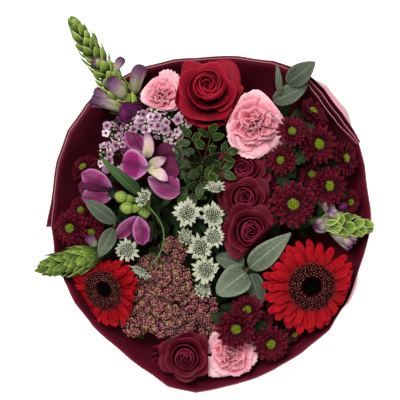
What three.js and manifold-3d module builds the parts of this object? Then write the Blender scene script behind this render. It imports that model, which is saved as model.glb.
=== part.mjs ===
// A mixed bouquet, tied in a spiral so that it stands on its cut stems, in a paper wrapper.
// Millimetres, +Z up. The origin is on the ground, under the middle of the bouquet's box.
// Flowers are placed by eye from straight above: x to the right, y up, z the height of the face.
import * as THREE from 'three';
import { mergeVertices } from 'three/addons/utils/BufferGeometryUtils.js';
import Module from 'manifold-3d';

const wasm = await Module();
wasm.setup();

// Driving dimensions
const FACE_HEIGHT = 380; // height at which a plan place is read at its true size
const EYE_HEIGHT = 1980; // eye above the ground, so deeper places spread outwards
const TIE_HEIGHT = 130; // where the spiral is bound
const FOOT_SPREAD = 2.7; // radius of the cut ends over the radius at the tie
const HEAD_TURN = 64; // degrees that the spiral turns between the tie and the heads
const STEM_GAP = 0.5; // clear space between two stems above the tie
const TIE_GAP = 0.3; // and in the tie
const SEAT = 0.3; // clear space between a bloom and its calyx, or a disc and its rays
const PRESS_GAP = 0.3; // from a pressed petal to the plane between two heads
const FREE = 0.72; // share of the way to that plane over which a petal isn't pressed
const FULL = 1.1; // size of a head before its neighbours press it, over its size as seen
const WALL_GAP = 1.6; // from a petal to the inside of the paper
const PETAL = 0.8; // thickness of a petal
const LEAF = 0.8; // thickness of a leaf
const PAPER = 0.7; // thickness of the paper
const PAPER_GAP = 1.2; // between two layers of paper
const FINE = 0.3; // slivers smaller than this are dropped where solids are joined
const AXIS = [10, -26]; // plan place of the wrapper's axis

const COLOURS = {
  paper: 0x55161f,
  ribbon: 0x7a1a2a,
  twine: 0xb59a6a,
  redRose: 0xb01228,
  darkRose: 0x6a1020,
  carnation: 0xea9aa4,
  gerbera: 0xc8141e,
  gerberaDisc: 0x2a1012,
  chrysanthemum: 0x6e1226,
  snapdragon: 0x7ea640,
  alstroemeria: 0xa0307f,
  waxflower: 0xc9a0c4,
  astrantia: 0xc5cdb5,
  sedum: 0x8a4a55,
  eucalyptus: 0x8fa090,
  leaf: 0x3f6a2a,
  stem: 0x5c7f3a,
};

// Heads: place in plan and height of the face, lean in degrees towards a plan direction in degrees.
const RED_ROSE = { place: [8, 107, 390], lean: [12, 90], radius: 37, whorls: 4 };
const DARK_ROSES = [
  { place: [43, 33, 366], lean: [14, 100], radius: 25, whorls: 3 },
  { place: [45, 3, 379], lean: [10, 100], radius: 25, whorls: 3 },
  { place: [52, -31, 391], lean: [6, 0], radius: 28, whorls: 4 },
  { place: [-15, -159, 370], lean: [10, 240], radius: 25, whorls: 3 },
  { place: [-38, -169, 344], lean: [40, 225], radius: 19, whorls: 2 },
];
const CARNATIONS = [
  { place: [-39, 107, 372], lean: [8, 130], radius: 23, whorls: 3 },
  { place: [57, 73, 382], lean: [14, 300], radius: 34, whorls: 4 },
  { place: [31, -158, 364], lean: [10, 280], radius: 28, whorls: 3 },
];
const GERBERAS = [
  { place: [112, -87, 370], lean: [8, 300], radius: 46, rays: 14 },
  { place: [-97, -90, 362], lean: [32, 215], radius: 40, rays: 14 },
];
const CHRYSANTHEMUM_SPRAYS = [
  [
    { place: [92, 69, 390], lean: [6, 100], radius: 15 },
    { place: [81, 40, 374], lean: [12, 180], radius: 15 },
    { place: [113, 89, 366], lean: [58, 50], radius: 18 },
  ],
  [
    { place: [119, 56, 376], lean: [24, 15], radius: 20 },
    { place: [112, 26, 352], lean: [10, 180], radius: 14 },
    { place: [146, 42, 364], lean: [52, 10], radius: 18 },
  ],
  [
    { place: [93, -4, 384], lean: [5, 270], radius: 22 },
    { place: [129, 14, 374], lean: [24, 10], radius: 20 },
    { place: [151, -2, 350], lean: [20, 350], radius: 12 },
    { place: [80, 19, 346], lean: [5, 180], radius: 13 },
  ],
  [
    { place: [-130, -28, 360], lean: [14, 190], radius: 18 },
    { place: [-109, -32, 352], lean: [10, 300], radius: 15 },
    { place: [-119, -10, 346], lean: [20, 170], radius: 14 },
  ],
  [
    { place: [-103, 0, 340], lean: [10, 180], radius: 13 },
    { place: [-117, 33, 354], lean: [50, 130], radius: 15 },
  ],
  [
    { place: [47, -110, 370], lean: [8, 60], radius: 16 },
    { place: [36, -129, 380], lean: [14, 290], radius: 20 },
    { place: [62, -124, 350], lean: [10, 0], radius: 12 },
  ],
  [
    { place: [79, -107, 346], lean: [20, 180], radius: 14 },
    { place: [71, -144, 362], lean: [16, 300], radius: 18 },
    { place: [95, -135, 340], lean: [25, 320], radius: 12 },
  ],
];
const ASTRANTIAS = [
  [
    { place: [-13, -13, 382], lean: [10, 120], radius: 14 },
    { place: [13, -15, 374], lean: [10, 60], radius: 13 },
    { place: [15, 13, 384], lean: [50, 90], radius: 10 },
    { place: [-14, -37, 372], lean: [30, 20], radius: 9 },
  ],
  [
    { place: [14, -37, 388], lean: [5, 0], radius: 11 },
    { place: [0, -48, 376], lean: [12, 160], radius: 13 },
    { place: [6, -70, 380], lean: [8, 200], radius: 14 },
    { place: [3, -90, 366], lean: [20, 270], radius: 9 },
  ],
  [
    { place: [-57, 2, 388], lean: [45, 150], radius: 10 },
    { place: [-73, -50, 378], lean: [15, 250], radius: 12 },
    { place: [-59, -72, 390], lean: [62, 240], radius: 11 },
  ],
];
const SEDUM_CUSHIONS = [
  { place: [-51, -71, 360], radius: 15 },
  { place: [-28, -52, 364], radius: 15 },
  { place: [-56, -96, 364], radius: 18 },
  { place: [-28, -82, 370], radius: 20 },
  { place: [-2, -108, 364], radius: 19 },
  { place: [-66, -122, 358], radius: 16 },
  { place: [-38, -118, 368], radius: 20 },
  { place: [-16, -134, 356], radius: 14 },
  { place: [12, -130, 352], radius: 14 },
];
const WAXFLOWER_TWIGS = [
  [
    [-88, 70, 358],
    [-92, 50, 356],
    [-80, 58, 362],
    [-72, 70, 364],
    [-95, 36, 352],
    [-70, 50, 356],
    [-76, 26, 358],
  ],
  [
    [-62, 86, 366],
    [-54, 76, 368],
    [-47, 88, 364],
    [-36, 82, 362],
    [-40, 68, 366],
    [-26, 62, 360],
    [-17, 80, 364],
    [-24, 48, 354],
  ],
];
const SNAPDRAGONS = [
  {
    root: [-72, 92, 352],
    tip: [-130, 183, 398],
    thick: 11,
    rows: 8,
    blooms: [[-60, 120], [-85, 118], [-101, 106]],
  },
  { root: [-104, -56, 356], tip: [-161, -69, 372], thick: 11, rows: 6, blooms: [] },
  {
    root: [124, -22, 360],
    tip: [170, -28, 372],
    thick: 9,
    rows: 5,
    blooms: [[122, -4], [118, -24], [138, -44]],
  },
];
const EUCALYPTUS = [
  {
    top: [84, 104, 366],
    leaves: [
      { base: [87, 116, 370], tip: [115, 138, 384], width: 20 },
      { base: [72, 98, 364], tip: [107, 114, 366], width: 18 },
      { base: [80, 104, 369], tip: [77, 136, 382], width: 6 },
    ],
  },
  {
    top: [-86, -25, 366],
    leaves: [
      { base: [-84, -23, 368], tip: [-115, 0, 376], width: 15 },
      { base: [-86, -28, 368], tip: [-101, -57, 378], width: 15 },
    ],
  },
  {
    top: [47, -70, 372],
    leaves: [
      { base: [46, -72, 374], tip: [17, -94, 380], width: 28 },
      { base: [49, -68, 372], tip: [91, -33, 374], width: 22 },
      { base: [44, -66, 366], tip: [16, -56, 360], width: 18 },
      { base: [50, -74, 364], tip: [62, -104, 352], width: 18 },
    ],
  },
];
const SPRIGS = [
  {
    top: [2, 38, 356],
    leaves: [
      { base: [4, 50, 366], tip: [12, 70, 376], width: 15 },
      { base: [8, 40, 366], tip: [30, 48, 374], width: 15 },
      { base: [-2, 48, 364], tip: [-12, 66, 370], width: 14 },
      { base: [-6, 40, 364], tip: [-24, 44, 366], width: 14 },
      { base: [-4, 34, 362], tip: [-18, 26, 364], width: 14 },
      { base: [10, 34, 366], tip: [26, 26, 372], width: 13 },
      { base: [2, 32, 366], tip: [0, 12, 370], width: 14 },
    ],
  },
  {
    top: [-14, 22, 350],
    leaves: [
      { base: [-14, 26, 360], tip: [-30, 34, 358], width: 14 },
      { base: [-18, 20, 360], tip: [-36, 14, 362], width: 14 },
      { base: [-10, 18, 360], tip: [-8, 2, 362], width: 13 },
      { base: [-8, 26, 358], tip: [8, 24, 360], width: 13 },
    ],
  },
];
const ALSTROEMERIA = {
  open: { place: [-50, 32, 378], lean: [10, 200], radius: 30 },
  back: { place: [-106, 17, 366], lean: [40, 170], radius: 17 },
  droop: { place: [-68, -30, 366], lean: [20, 250], radius: 16 },
  buds: [
    [-79, 3, 368],
    [-73, -8, 372],
    [-56, -12, 366],
  ],
  leaf: { base: [-58, 3, 366], tip: [-99, 42, 382], width: 13 },
};

// Rim of the paper, one entry a corner: place in plan, height, and bulge of the wall below it.
const RIM = [
  [171, -27, 350, 0],
  [168, 12, 350, 0],
  [157, 56, 354, 0],
  [142, 86, 356, 6],
  [123, 110, 356, 4],
  [101, 126, 354, 0],
  [72, 136, 352, 0],
  [40, 141, 350, 0],
  [8, 142, 350, 0],
  [-26, 138, 352, 0],
  [-58, 130, 354, 0],
  [-88, 117, 358, 0],
  [-112, 94, 362, 0],
  [-130, 68, 364, 0],
  [-141, 38, 362, 0],
  [-147, 4, 358, 0],
  [-148, -27, 354, 0],
  [-145, -52, 350, 0],
  [-136, -80, 348, 0],
  [-124, -103, 348, 0],
  [-107, -126, 348, 0],
  [-82, -148, 348, 0],
  [-58, -169, 350, 0],
  [-32, -186, 350, 0],
  [-4, -192, 350, 0],
  [36, -184, 348, 0],
  [74, -170, 348, 0],
  [102, -152, 348, 0],
  [129, -130, 350, 0],
  [147, -102, 350, 3],
  [160, -64, 350, 3],
];

function seen([x, y, z]) {
  const spread = (EYE_HEIGHT - z) / (EYE_HEIGHT - FACE_HEIGHT);
  return new THREE.Vector3(x * spread, y * spread, z);
}

function radians(degrees) {
  return (degrees * Math.PI) / 180;
}

function mix(a, b, t) {
  return a + (b - a) * t;
}

const axisPoint = new THREE.Vector2(AXIS[0], AXIS[1]);

// Solids

function signedVolume(vertices, triangles) {
  const a = new THREE.Vector3();
  const b = new THREE.Vector3();
  const c = new THREE.Vector3();
  let total = 0;
  for (let i = 0; i < triangles.length; i += 3) {
    a.fromArray(vertices, triangles[i] * 3);
    b.fromArray(vertices, triangles[i + 1] * 3);
    c.fromArray(vertices, triangles[i + 2] * 3);
    total += a.dot(b.cross(c)) / 6;
  }
  return total;
}

// A closed geometry becomes a solid, with its faces turned outwards where they point in.
function solidOf(geometry) {
  const bare = geometry.clone();
  bare.deleteAttribute('normal');
  bare.deleteAttribute('uv');
  const merged = mergeVertices(bare, 1e-4);
  const index = merged.index.array;
  const triangles = [];
  for (let i = 0; i < index.length; i += 3) {
    const [a, b, c] = [index[i], index[i + 1], index[i + 2]];
    if (a !== b && b !== c && c !== a) triangles.push(a, b, c);
  }
  const vertices = merged.attributes.position.array;
  if (signedVolume(vertices, triangles) < 0) triangles.reverse();
  return new wasm.Manifold(
    new wasm.Mesh({
      numProp: 3,
      vertProperties: new Float32Array(vertices),
      triVerts: new Uint32Array(triangles),
    }),
  );
}

// Joins solids two by two, which stays quick for many.
function joined(solids) {
  let list = solids;
  while (list.length > 1) {
    const next = [];
    for (let i = 0; i < list.length; i += 2) {
      next.push(i + 1 < list.length ? list[i].add(list[i + 1]) : list[i]);
    }
    list = next;
  }
  return list[0];
}

function geometryOf(solid) {
  const mesh = solid.getMesh();
  const geometry = new THREE.BufferGeometry();
  geometry.setAttribute('position', new THREE.BufferAttribute(mesh.vertProperties, 3));
  geometry.setIndex(new THREE.BufferAttribute(mesh.triVerts, 1));
  return geometry;
}

// A slab round the middle surface point(u, v), with both faces split into triangles alike.
function sheet(point, across, along, thickness) {
  const at = (i, j) => point(i / across, j / along);
  const columns = across + 1;
  const count = columns * (along + 1);
  const positions = new Float32Array(count * 6);
  const u = new THREE.Vector3();
  const v = new THREE.Vector3();
  for (let j = 0; j <= along; j += 1) {
    for (let i = 0; i <= across; i += 1) {
      const middle = at(i, j);
      u.subVectors(at(Math.min(i + 1, across), j), at(Math.max(i - 1, 0), j));
      v.subVectors(at(i, Math.min(j + 1, along)), at(i, Math.max(j - 1, 0)));
      const half = u.cross(v).normalize().multiplyScalar(thickness / 2);
      const k = j * columns + i;
      middle.clone().add(half).toArray(positions, k * 3);
      middle.clone().sub(half).toArray(positions, (count + k) * 3);
    }
  }
  const index = [];
  const wall = (a, b) => index.push(count + a, count + b, b, count + a, b, a);
  for (let j = 0; j < along; j += 1) {
    for (let i = 0; i < across; i += 1) {
      const a = j * columns + i;
      const b = a + 1;
      const c = b + columns;
      const d = a + columns;
      index.push(a, b, c, a, c, d);
      index.push(count + a, count + c, count + b, count + a, count + d, count + c);
    }
  }
  for (let i = 0; i < across; i += 1) {
    wall(i, i + 1);
    wall(along * columns + i + 1, along * columns + i);
  }
  for (let j = 0; j < along; j += 1) {
    wall((j + 1) * columns, j * columns);
    wall(j * columns + across, (j + 1) * columns + across);
  }
  const geometry = new THREE.BufferGeometry();
  geometry.setAttribute('position', new THREE.BufferAttribute(positions, 3));
  geometry.setIndex(index);
  return geometry;
}

function turned(profile, sides) {
  const outline = profile.map(([r, y]) => new THREE.Vector2(r, y));
  return new THREE.LatheGeometry(outline, sides).rotateX(Math.PI / 2);
}

// Rings of points [angle, radius, height] from which blooms are built, from the bottom up.

const TIPS = {
  1: [[0.5, 1]],
  2: [[0.27, 1], [0.73, 1]],
  3: [[0.2, 1], [0.5, 0.87], [0.8, 1]],
};

// The lower and the upper edge of a whorl: a valley and one to three tip points a petal.
function whorl({ petals, tip, valley, low, high, points, turn = 0, point = 0 }) {
  const step = (2 * Math.PI) / petals;
  const outline = [];
  for (let i = 0; i < petals; i += 1) {
    const long = i % 2 ? 0.94 : 1;
    outline.push([turn + step * i, valley, mix(low, high, (0.5 * valley) / tip)]);
    for (const [share, length] of TIPS[points]) {
      const reach = tip * long * (share === 0.5 && point ? 1 + point : length);
      outline.push([turn + step * (i + share), reach, mix(low, high, i % 2 ? 1 : 0.75)]);
    }
  }
  return [outline, outline.map(([angle, r, z]) => [angle, r, z + PETAL])];
}

function circle(count, radius, height, turn = 0) {
  return Array.from({ length: count }, (_, k) => [turn + (2 * Math.PI * k) / count, radius, height]);
}

// A ring whose points stand in and out by turns, for a relief of florets.
function chequered(count, radius, height, odd, bump) {
  return circle(count, radius, height).map(([angle, r, z], k) => {
    const out = (k + odd) % 2 ? 1 + bump : 1 - bump;
    return [angle, r * out, z * out];
  });
}

// Triangles between two closed rings of corners, each a list of [index, angle] in order.
function zipped(lower, upper, index) {
  let i = 0;
  let j = 0;
  const angleOf = (ring, k) => ring[k % ring.length][1] + 2 * Math.PI * Math.floor(k / ring.length);
  while (i < lower.length || j < upper.length) {
    const a = lower[i % lower.length][0];
    const b = upper[j % upper.length][0];
    const lowerNext = i < lower.length ? angleOf(lower, i + 1) : Infinity;
    const upperNext = j < upper.length ? angleOf(upper, j + 1) : Infinity;
    if (lowerNext <= upperNext) {
      index.push(a, lower[(i + 1) % lower.length][0], b);
      i += 1;
    } else {
      index.push(a, upper[(j + 1) % upper.length][0], b);
      j += 1;
    }
  }
}

// A leaf on its stalk: a narrow strip from the fork to the base, then a blade that is folded a
// little along its midrib, in the bouquet's frame.
function leafSheet({ base, tip, width }, fork, along, item) {
  const from = seen(base);
  const to = seen(tip);
  const forward = new THREE.Vector3().subVectors(to, from);
  const side = new THREE.Vector3(forward.y, -forward.x, 0).normalize();
  const up = new THREE.Vector3().crossVectors(side, forward).normalize();
  const arch = forward.length() * 0.08;
  return sheet(
    (u, row) => {
      const v = (Math.round(row * along) - 1) / (along - 1);
      const blade = Math.sin(Math.PI * Math.max(v, 0) ** 0.8) ** 0.75;
      const half = v < 0 ? 0.8 : (width / 2) * Math.max(0.12, blade);
      const edge = Math.abs(2 * u - 1);
      const middle = v < 0 ? fork.clone() : from.clone().addScaledVector(forward, v);
      middle
        .addScaledVector(side, (2 * u - 1) * half)
        .addScaledVector(up, arch * Math.sin(Math.PI * Math.max(v, 0)) + edge * half * 0.2);
      return v < 0 ? middle : pressPoint(middle, item);
    },
    2,
    along,
    LEAF,
  );
}

// Heads in the bouquet

const heads = [];

// Registers a head, so that others keep clear of it, and gives its frame in the bouquet.
function head({ place, lean = [0, 0], radius }, node, depth, half) {
  const face = seen(place);
  const tilt = radians(lean[0]);
  const towards = radians(lean[1]);
  const axis = new THREE.Vector3(
    Math.sin(tilt) * Math.cos(towards),
    Math.sin(tilt) * Math.sin(towards),
    Math.cos(tilt),
  );
  const base = face.clone().addScaledVector(axis, -depth);
  const turn = new THREE.Quaternion().setFromUnitVectors(new THREE.Vector3(0, 0, 1), axis);
  const item = {
    node,
    axis,
    base,
    radius: radius * FULL,
    half,
    centre: face.clone().addScaledVector(axis, -Math.min(depth, half)),
    matrix: new THREE.Matrix4().compose(base, turn, new THREE.Vector3(1, 1, 1)),
  };
  heads.push(item);
  return item;
}

// A flat leaf or bud between two plan points, registered so that heads keep clear of it.
function strip(node, base, tip, width) {
  const from = seen(base);
  const to = seen(tip);
  const item = {
    node,
    radius: from.distanceTo(to) / 2 + width / 4,
    half: 3 + Math.abs(to.z - from.z) / 2,
    centre: from.clone().add(to).multiplyScalar(0.5),
  };
  heads.push(item);
  return item;
}

// The plane between two heads lies where two flattened balls round them would touch.
function planeBetween(own, other) {
  const reach = own.radius + other.radius;
  const height = own.half + other.half;
  const d = new THREE.Vector3().subVectors(other.centre, own.centre);
  const metric = Math.hypot(Math.hypot(d.x, d.y) / reach, d.z / height);
  if (metric > 1) return null;
  const normal = new THREE.Vector3(d.x / reach ** 2, d.y / reach ** 2, d.z / height ** 2).normalize();
  const extent = (item) => Math.hypot(item.radius * Math.hypot(normal.x, normal.y), item.half * normal.z);
  const share = extent(own) / (extent(own) + extent(other));
  return { normal, centre: own.centre, limit: d.dot(normal) * share - PRESS_GAP };
}

// Draws a distance smoothly in, so that it never passes the limit.
function squeezed(distance, limit, free) {
  if (distance <= free) return distance;
  const room = limit - free;
  return free + room * (1 - Math.exp(-(distance - free) / room));
}

// The paper's inside wall, as a radius round the wrapper's axis.
const rim = RIM.map(([x, y, z, bulge]) => {
  const corner = seen([x, y, z]);
  const plan = new THREE.Vector2(corner.x, corner.y).sub(axisPoint);
  const angle = (Math.atan2(plan.y, plan.x) + 2 * Math.PI) % (2 * Math.PI);
  return { angle, radius: plan.length(), z, bulge };
}).sort((a, b) => a.angle - b.angle);

const PAPER_RADIUS = 24; // inside of the paper at the tie
const PAPER_FOOT = 84; // height of the paper's lower edge
const FOOT_FLARE = 0.7; // how fast the paper opens below the tie, as a share of the height
const PLEAT = 2.2; // depth of the gathers at the tie

function wallRadius(corner, z, column) {
  if (z <= TIE_HEIGHT) {
    const down = TIE_HEIGHT - z;
    return PAPER_RADIUS + FOOT_FLARE * down * (0.35 + down / 110) + (column % 2) * PLEAT;
  }
  const t = (z - TIE_HEIGHT) / (corner.z - TIE_HEIGHT);
  const open = PAPER_RADIUS + (corner.radius - PAPER_RADIUS) * t * (1.4 - 0.4 * t);
  const gather = (column % 2) * PLEAT * Math.max(0, 1 - 1.5 * t);
  const belly = corner.bulge * Math.max(0, 1 - Math.abs(t - 0.9) / 0.1);
  return open + gather + belly;
}

function wallAt(angle, z) {
  const turn = (angle + 2 * Math.PI) % (2 * Math.PI);
  let next = rim.findIndex((corner) => corner.angle > turn);
  if (next < 0) next = 0;
  const before = rim[(next + rim.length - 1) % rim.length];
  const after = rim[next];
  const gap = (after.angle - before.angle + 2 * Math.PI) % (2 * Math.PI);
  const share = ((turn - before.angle + 2 * Math.PI) % (2 * Math.PI)) / gap;
  const height = Math.min(z, mix(before.z, after.z, share));
  const a = wallRadius({ ...before, bulge: 0 }, Math.min(height, before.z), 0);
  const b = wallRadius({ ...after, bulge: 0 }, Math.min(height, after.z), 0);
  const chord = (a * b * Math.sin(gap)) / (a * Math.sin(share * gap) + b * Math.sin((1 - share) * gap));
  return chord + Math.max(0, z - height) * 3;
}

function insidePaper(point, margin = WALL_GAP) {
  const x = point.x - AXIS[0];
  const y = point.y - AXIS[1];
  const distance = Math.hypot(x, y);
  const limit = wallAt(Math.atan2(y, x), point.z) - margin;
  const held = squeezed(distance, limit, limit - 14);
  point.x = AXIS[0] + (x * held) / distance;
  point.y = AXIS[1] + (y * held) / distance;
}

function nearest(stretch, point) {
  const distances = stretch.map(({ centre }) => centre.distanceToSquared(point));
  return stretch[distances.indexOf(Math.min(...distances))];
}

// Moves points from a head's frame to the bouquet's, pressed by its neighbours and the paper.
function pressPoint(point, whole) {
  if (whole.matrix) point.applyMatrix4(whole.matrix);
  const item = whole.stretch ? nearest(whole.stretch, point) : whole;
  if (!item.planes) {
    const others = heads.filter((other) => other !== item && (other.node !== item.node || item.crowded));
    item.planes = others.map((other) => planeBetween(item, other)).filter(Boolean);
  }
  for (const { normal, centre, limit } of item.planes) {
    const distance = point.clone().sub(centre).dot(normal);
    point.addScaledVector(normal, squeezed(distance, limit, limit * FREE) - distance);
  }
  insidePaper(point);
  return point;
}

function pressed(geometry, item) {
  const positions = geometry.attributes.position;
  const point = new THREE.Vector3();
  for (let k = 0; k < positions.count; k += 1) {
    pressPoint(point.fromBufferAttribute(positions, k), item);
    positions.setXYZ(k, point.x, point.y, point.z);
  }
  return solidOf(geometry);
}

// A bloom from its rings, closed by a point on the axis at the top, and below by a point or,
// where it grows on a rod, by the rod down to its far end.
function bloom(item, rings, { top, bottom, grownOn = null }) {
  const positions = [];
  const index = [];
  const corner = (angle, radius, z) => {
    const point = new THREE.Vector3(radius * Math.cos(angle), radius * Math.sin(angle), z);
    pressPoint(point, item).toArray(positions, positions.length);
    return positions.length / 3 - 1;
  };
  const sorted = rings.map((ring) => {
    const full = 2 * Math.PI;
    const turned = ring.map(([angle, radius, z]) => [((angle % full) + full) % full, radius, z]);
    turned.sort((a, b) => a[0] - b[0]);
    return turned.map(([angle, radius, z]) => [corner(angle, radius, z), angle]);
  });
  for (let k = 0; k + 1 < sorted.length; k += 1) zipped(sorted[k], sorted[k + 1], index);
  const crown = corner(0, 0, top);
  sorted.at(-1).forEach(([a], k, ring) => index.push(a, ring[(k + 1) % ring.length][0], crown));
  if (!grownOn) {
    const foot = corner(0, 0, bottom);
    sorted[0].forEach(([a], k, ring) => index.push(ring[(k + 1) % ring.length][0], a, foot));
  } else {
    const { points, radius, sides } = grownOn;
    const side = new THREE.Vector3(1, 0, 0).transformDirection(item.matrix);
    const loops = ringsAlong(points, radius, sides, side);
    const numbers = loops.map((loop) =>
      loop.map((point, k) => {
        point.toArray(positions, positions.length);
        return [positions.length / 3 - 1, (2 * Math.PI * k) / sides];
      }),
    );
    zipped(numbers[0], sorted[0], index);
    for (let k = 0; k + 1 < numbers.length; k += 1) zipped(numbers[k + 1], numbers[k], index);
    const last = numbers.at(-1);
    for (let k = 1; k < sides - 1; k += 1) index.push(last[0][0], last[k + 1][0], last[k][0]);
  }
  const geometry = new THREE.BufferGeometry();
  geometry.setAttribute('position', new THREE.BufferAttribute(new Float32Array(positions), 3));
  geometry.setIndex(index);
  return solidOf(geometry);
}

// Stems and twigs

const LEVEL = 13; // height between two points of a stem while it is routed
const END_STRETCH = 4; // least height of a stem's last stretch, under its bloom
const TIE_LEVEL = TIE_HEIGHT / LEVEL;
const SPIRAL = Math.sqrt(FOOT_SPREAD ** 2 - 1) / TIE_HEIGHT; // sideways run per mm and mm of radius

const strands = [];

// A stem from the ground, or a twig from its parent stem, up to the end point.
function strand({ node, radius, parent = null, start = 0, end, axis }) {
  const item = { node, radius, parent, start, end, axis, points: [] };
  strands.push(item);
  return item;
}

// Packs the stems in a round bundle at the tie, each on the side that its head comes from.
function packTie() {
  const stems = strands.filter((item) => !item.parent);
  const far = Math.max(...stems.map((item) => Math.hypot(item.end.x - AXIS[0], item.end.y - AXIS[1])));
  for (const item of stems) {
    const plan = new THREE.Vector2(item.end.x, item.end.y).sub(axisPoint).multiplyScalar(17 / far);
    item.tie = plan.rotateAround(new THREE.Vector2(), -radians(HEAD_TURN));
  }
  for (let pass = 0; pass < 800; pass += 1) {
    for (const item of stems) item.tie.multiplyScalar(0.994);
    for (let i = 0; i < stems.length; i += 1) {
      for (let j = i + 1; j < stems.length; j += 1) {
        const apart = new THREE.Vector2().subVectors(stems[j].tie, stems[i].tie);
        const need = (stems[i].radius + stems[j].radius) * 1.06 + TIE_GAP;
        const short = need - apart.length();
        if (short > 0) {
          apart.normalize().multiplyScalar(short / 2);
          stems[j].tie.add(apart);
          stems[i].tie.sub(apart);
        }
      }
    }
  }
}

function spiralPoint(tie, z) {
  const run = SPIRAL * (z - TIE_HEIGHT);
  return new THREE.Vector3(AXIS[0] + tie.x - run * tie.y, AXIS[1] + tie.y + run * tie.x, z);
}

// First route: straight through the tie, then a smooth bend into the end's own direction.
function firstRoute(item) {
  let from;
  let slope;
  if (item.parent) {
    from = pointAt(item.parent, item.start);
    slope = new THREE.Vector2(0, 0);
  } else {
    from = spiralPoint(item.tie, TIE_HEIGHT);
    slope = new THREE.Vector2(-item.tie.y, item.tie.x).multiplyScalar(SPIRAL);
    for (let k = 0; k < TIE_LEVEL; k += 1) item.points.push(spiralPoint(item.tie, k * LEVEL));
  }
  const rise = item.end.z - from.z;
  const lean = new THREE.Vector2(item.axis.x, item.axis.y).divideScalar(Math.max(item.axis.z, 0.6));
  const heights = [from.z];
  for (let k = Math.floor(from.z / LEVEL) + 1; k * LEVEL < item.end.z - 3; k += 1) {
    if (k * LEVEL > from.z + 2) heights.push(k * LEVEL);
  }
  heights.push(item.end.z);
  for (const z of heights) {
    const s = (z - from.z) / rise;
    const a = 1 - s * s * (3 - 2 * s);
    const b = s * s * (3 - 2 * s);
    const c = rise * s * (1 - s) ** 2;
    const d = rise * s * s * (s - 1);
    item.points.push(
      new THREE.Vector3(
        a * from.x + b * item.end.x + c * slope.x + d * lean.x,
        a * from.y + b * item.end.y + c * slope.y + d * lean.y,
        z,
      ),
    );
  }
}

function pointAt(item, z) {
  const k = item.points.findIndex((point) => point.z >= z);
  const [below, above] = [item.points[Math.max(k - 1, 0)], item.points[k]];
  if (above.z === below.z) return above.clone();
  return below.clone().lerp(above, (z - below.z) / (above.z - below.z));
}

// Bends stems and twigs clear of each other, of other heads and of the paper.
function bendClear(passes) {
  for (let pass = 0; pass < passes; pass += 1) {
    const levels = new Map();
    for (const item of strands) {
      if (item.parent) item.points[0].copy(pointAt(item.parent, item.start));
      item.points.forEach((point, k) => {
        const before = item.points[Math.max(k - 1, 0)];
        const after = item.points[Math.min(k + 1, item.points.length - 1)];
        const slope = Math.hypot(after.x - before.x, after.y - before.y) / (after.z - before.z);
        const fixed = k === 0 || k === item.points.length - 1 || (!item.parent && k <= TIE_LEVEL);
        if (!levels.has(point.z)) levels.set(point.z, []);
        levels.get(point.z).push({ item, point, slope, fixed });
      });
    }
    for (const [z, list] of levels) {
      if (z <= TIE_HEIGHT) continue;
      for (let i = 0; i < list.length; i += 1) {
        for (let j = i + 1; j < list.length; j += 1) keepApart(list[i], list[j]);
      }
      for (const entry of list) if (!entry.fixed) keepOffHeads(entry.item, entry.point);
    }
    for (const item of strands) {
      const first = item.parent ? 1 : TIE_LEVEL + 1;
      for (let k = first; k < item.points.length - 1; k += 1) {
        const [before, point, after] = [item.points[k - 1], item.points[k], item.points[k + 1]];
        const share = (point.z - before.z) / (after.z - before.z);
        point.x += 0.2 * (mix(before.x, after.x, share) - point.x);
        point.y += 0.2 * (mix(before.y, after.y, share) - point.y);
        insidePaper(point, item.radius + WALL_GAP);
      }
    }
  }
}

function keepApart(a, b) {
  if (a.item.node === b.item.node || (a.fixed && b.fixed)) return;
  const dx = b.point.x - a.point.x;
  const dy = b.point.y - a.point.y;
  const apart = Math.hypot(dx, dy) || 1e-6;
  const steep = Math.sqrt(1 + Math.max(a.slope, b.slope) ** 2);
  const short = (a.item.radius + b.item.radius + STEM_GAP * 2.5) * steep - apart;
  if (short <= 0) return;
  const push = (short / apart) * (a.fixed || b.fixed ? 1 : 0.5);
  if (!b.fixed) {
    b.point.x += dx * push;
    b.point.y += dy * push;
  }
  if (!a.fixed) {
    a.point.x -= dx * push;
    a.point.y -= dy * push;
  }
}

function keepOffHeads(item, point) {
  for (const other of heads) {
    if (other.node === item.node || other.bloomOf === item.node) continue;
    const height = other.half + item.radius + 1.5;
    const dz = (point.z - other.centre.z) / height;
    if (Math.abs(dz) >= 1) continue;
    const need = other.radius * Math.sqrt(1 - dz * dz) + item.radius + 1;
    const dx = point.x - other.centre.x;
    const dy = point.y - other.centre.y;
    const apart = Math.hypot(dx, dy) || 1e-6;
    if (apart >= need) continue;
    point.x += (dx / apart) * (need - apart) * 0.5;
    point.y += (dy / apart) * (need - apart) * 0.5;
  }
}

// A ring of corners at each point, square to the way that the rod runs there. The corners run
// the same way round for a rod that is followed down or up.
function ringsAlong(points, radius, sides, first = new THREE.Vector3(1, 0, 0)) {
  const side = first.clone();
  const down = points.at(-1).z < points[0].z ? -1 : 1;
  return points.map((point, k) => {
    const before = points[Math.max(k - 1, 0)];
    const after = points[Math.min(k + 1, points.length - 1)];
    const along = new THREE.Vector3().subVectors(after, before).normalize().multiplyScalar(down);
    side.addScaledVector(along, -side.dot(along)).normalize();
    const cross = new THREE.Vector3().crossVectors(along, side);
    return Array.from({ length: sides }, (_, c) => {
      const angle = (2 * Math.PI * c) / sides;
      return point
        .clone()
        .addScaledVector(side, radius * Math.cos(angle))
        .addScaledVector(cross, radius * Math.sin(angle));
    });
  });
}

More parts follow.
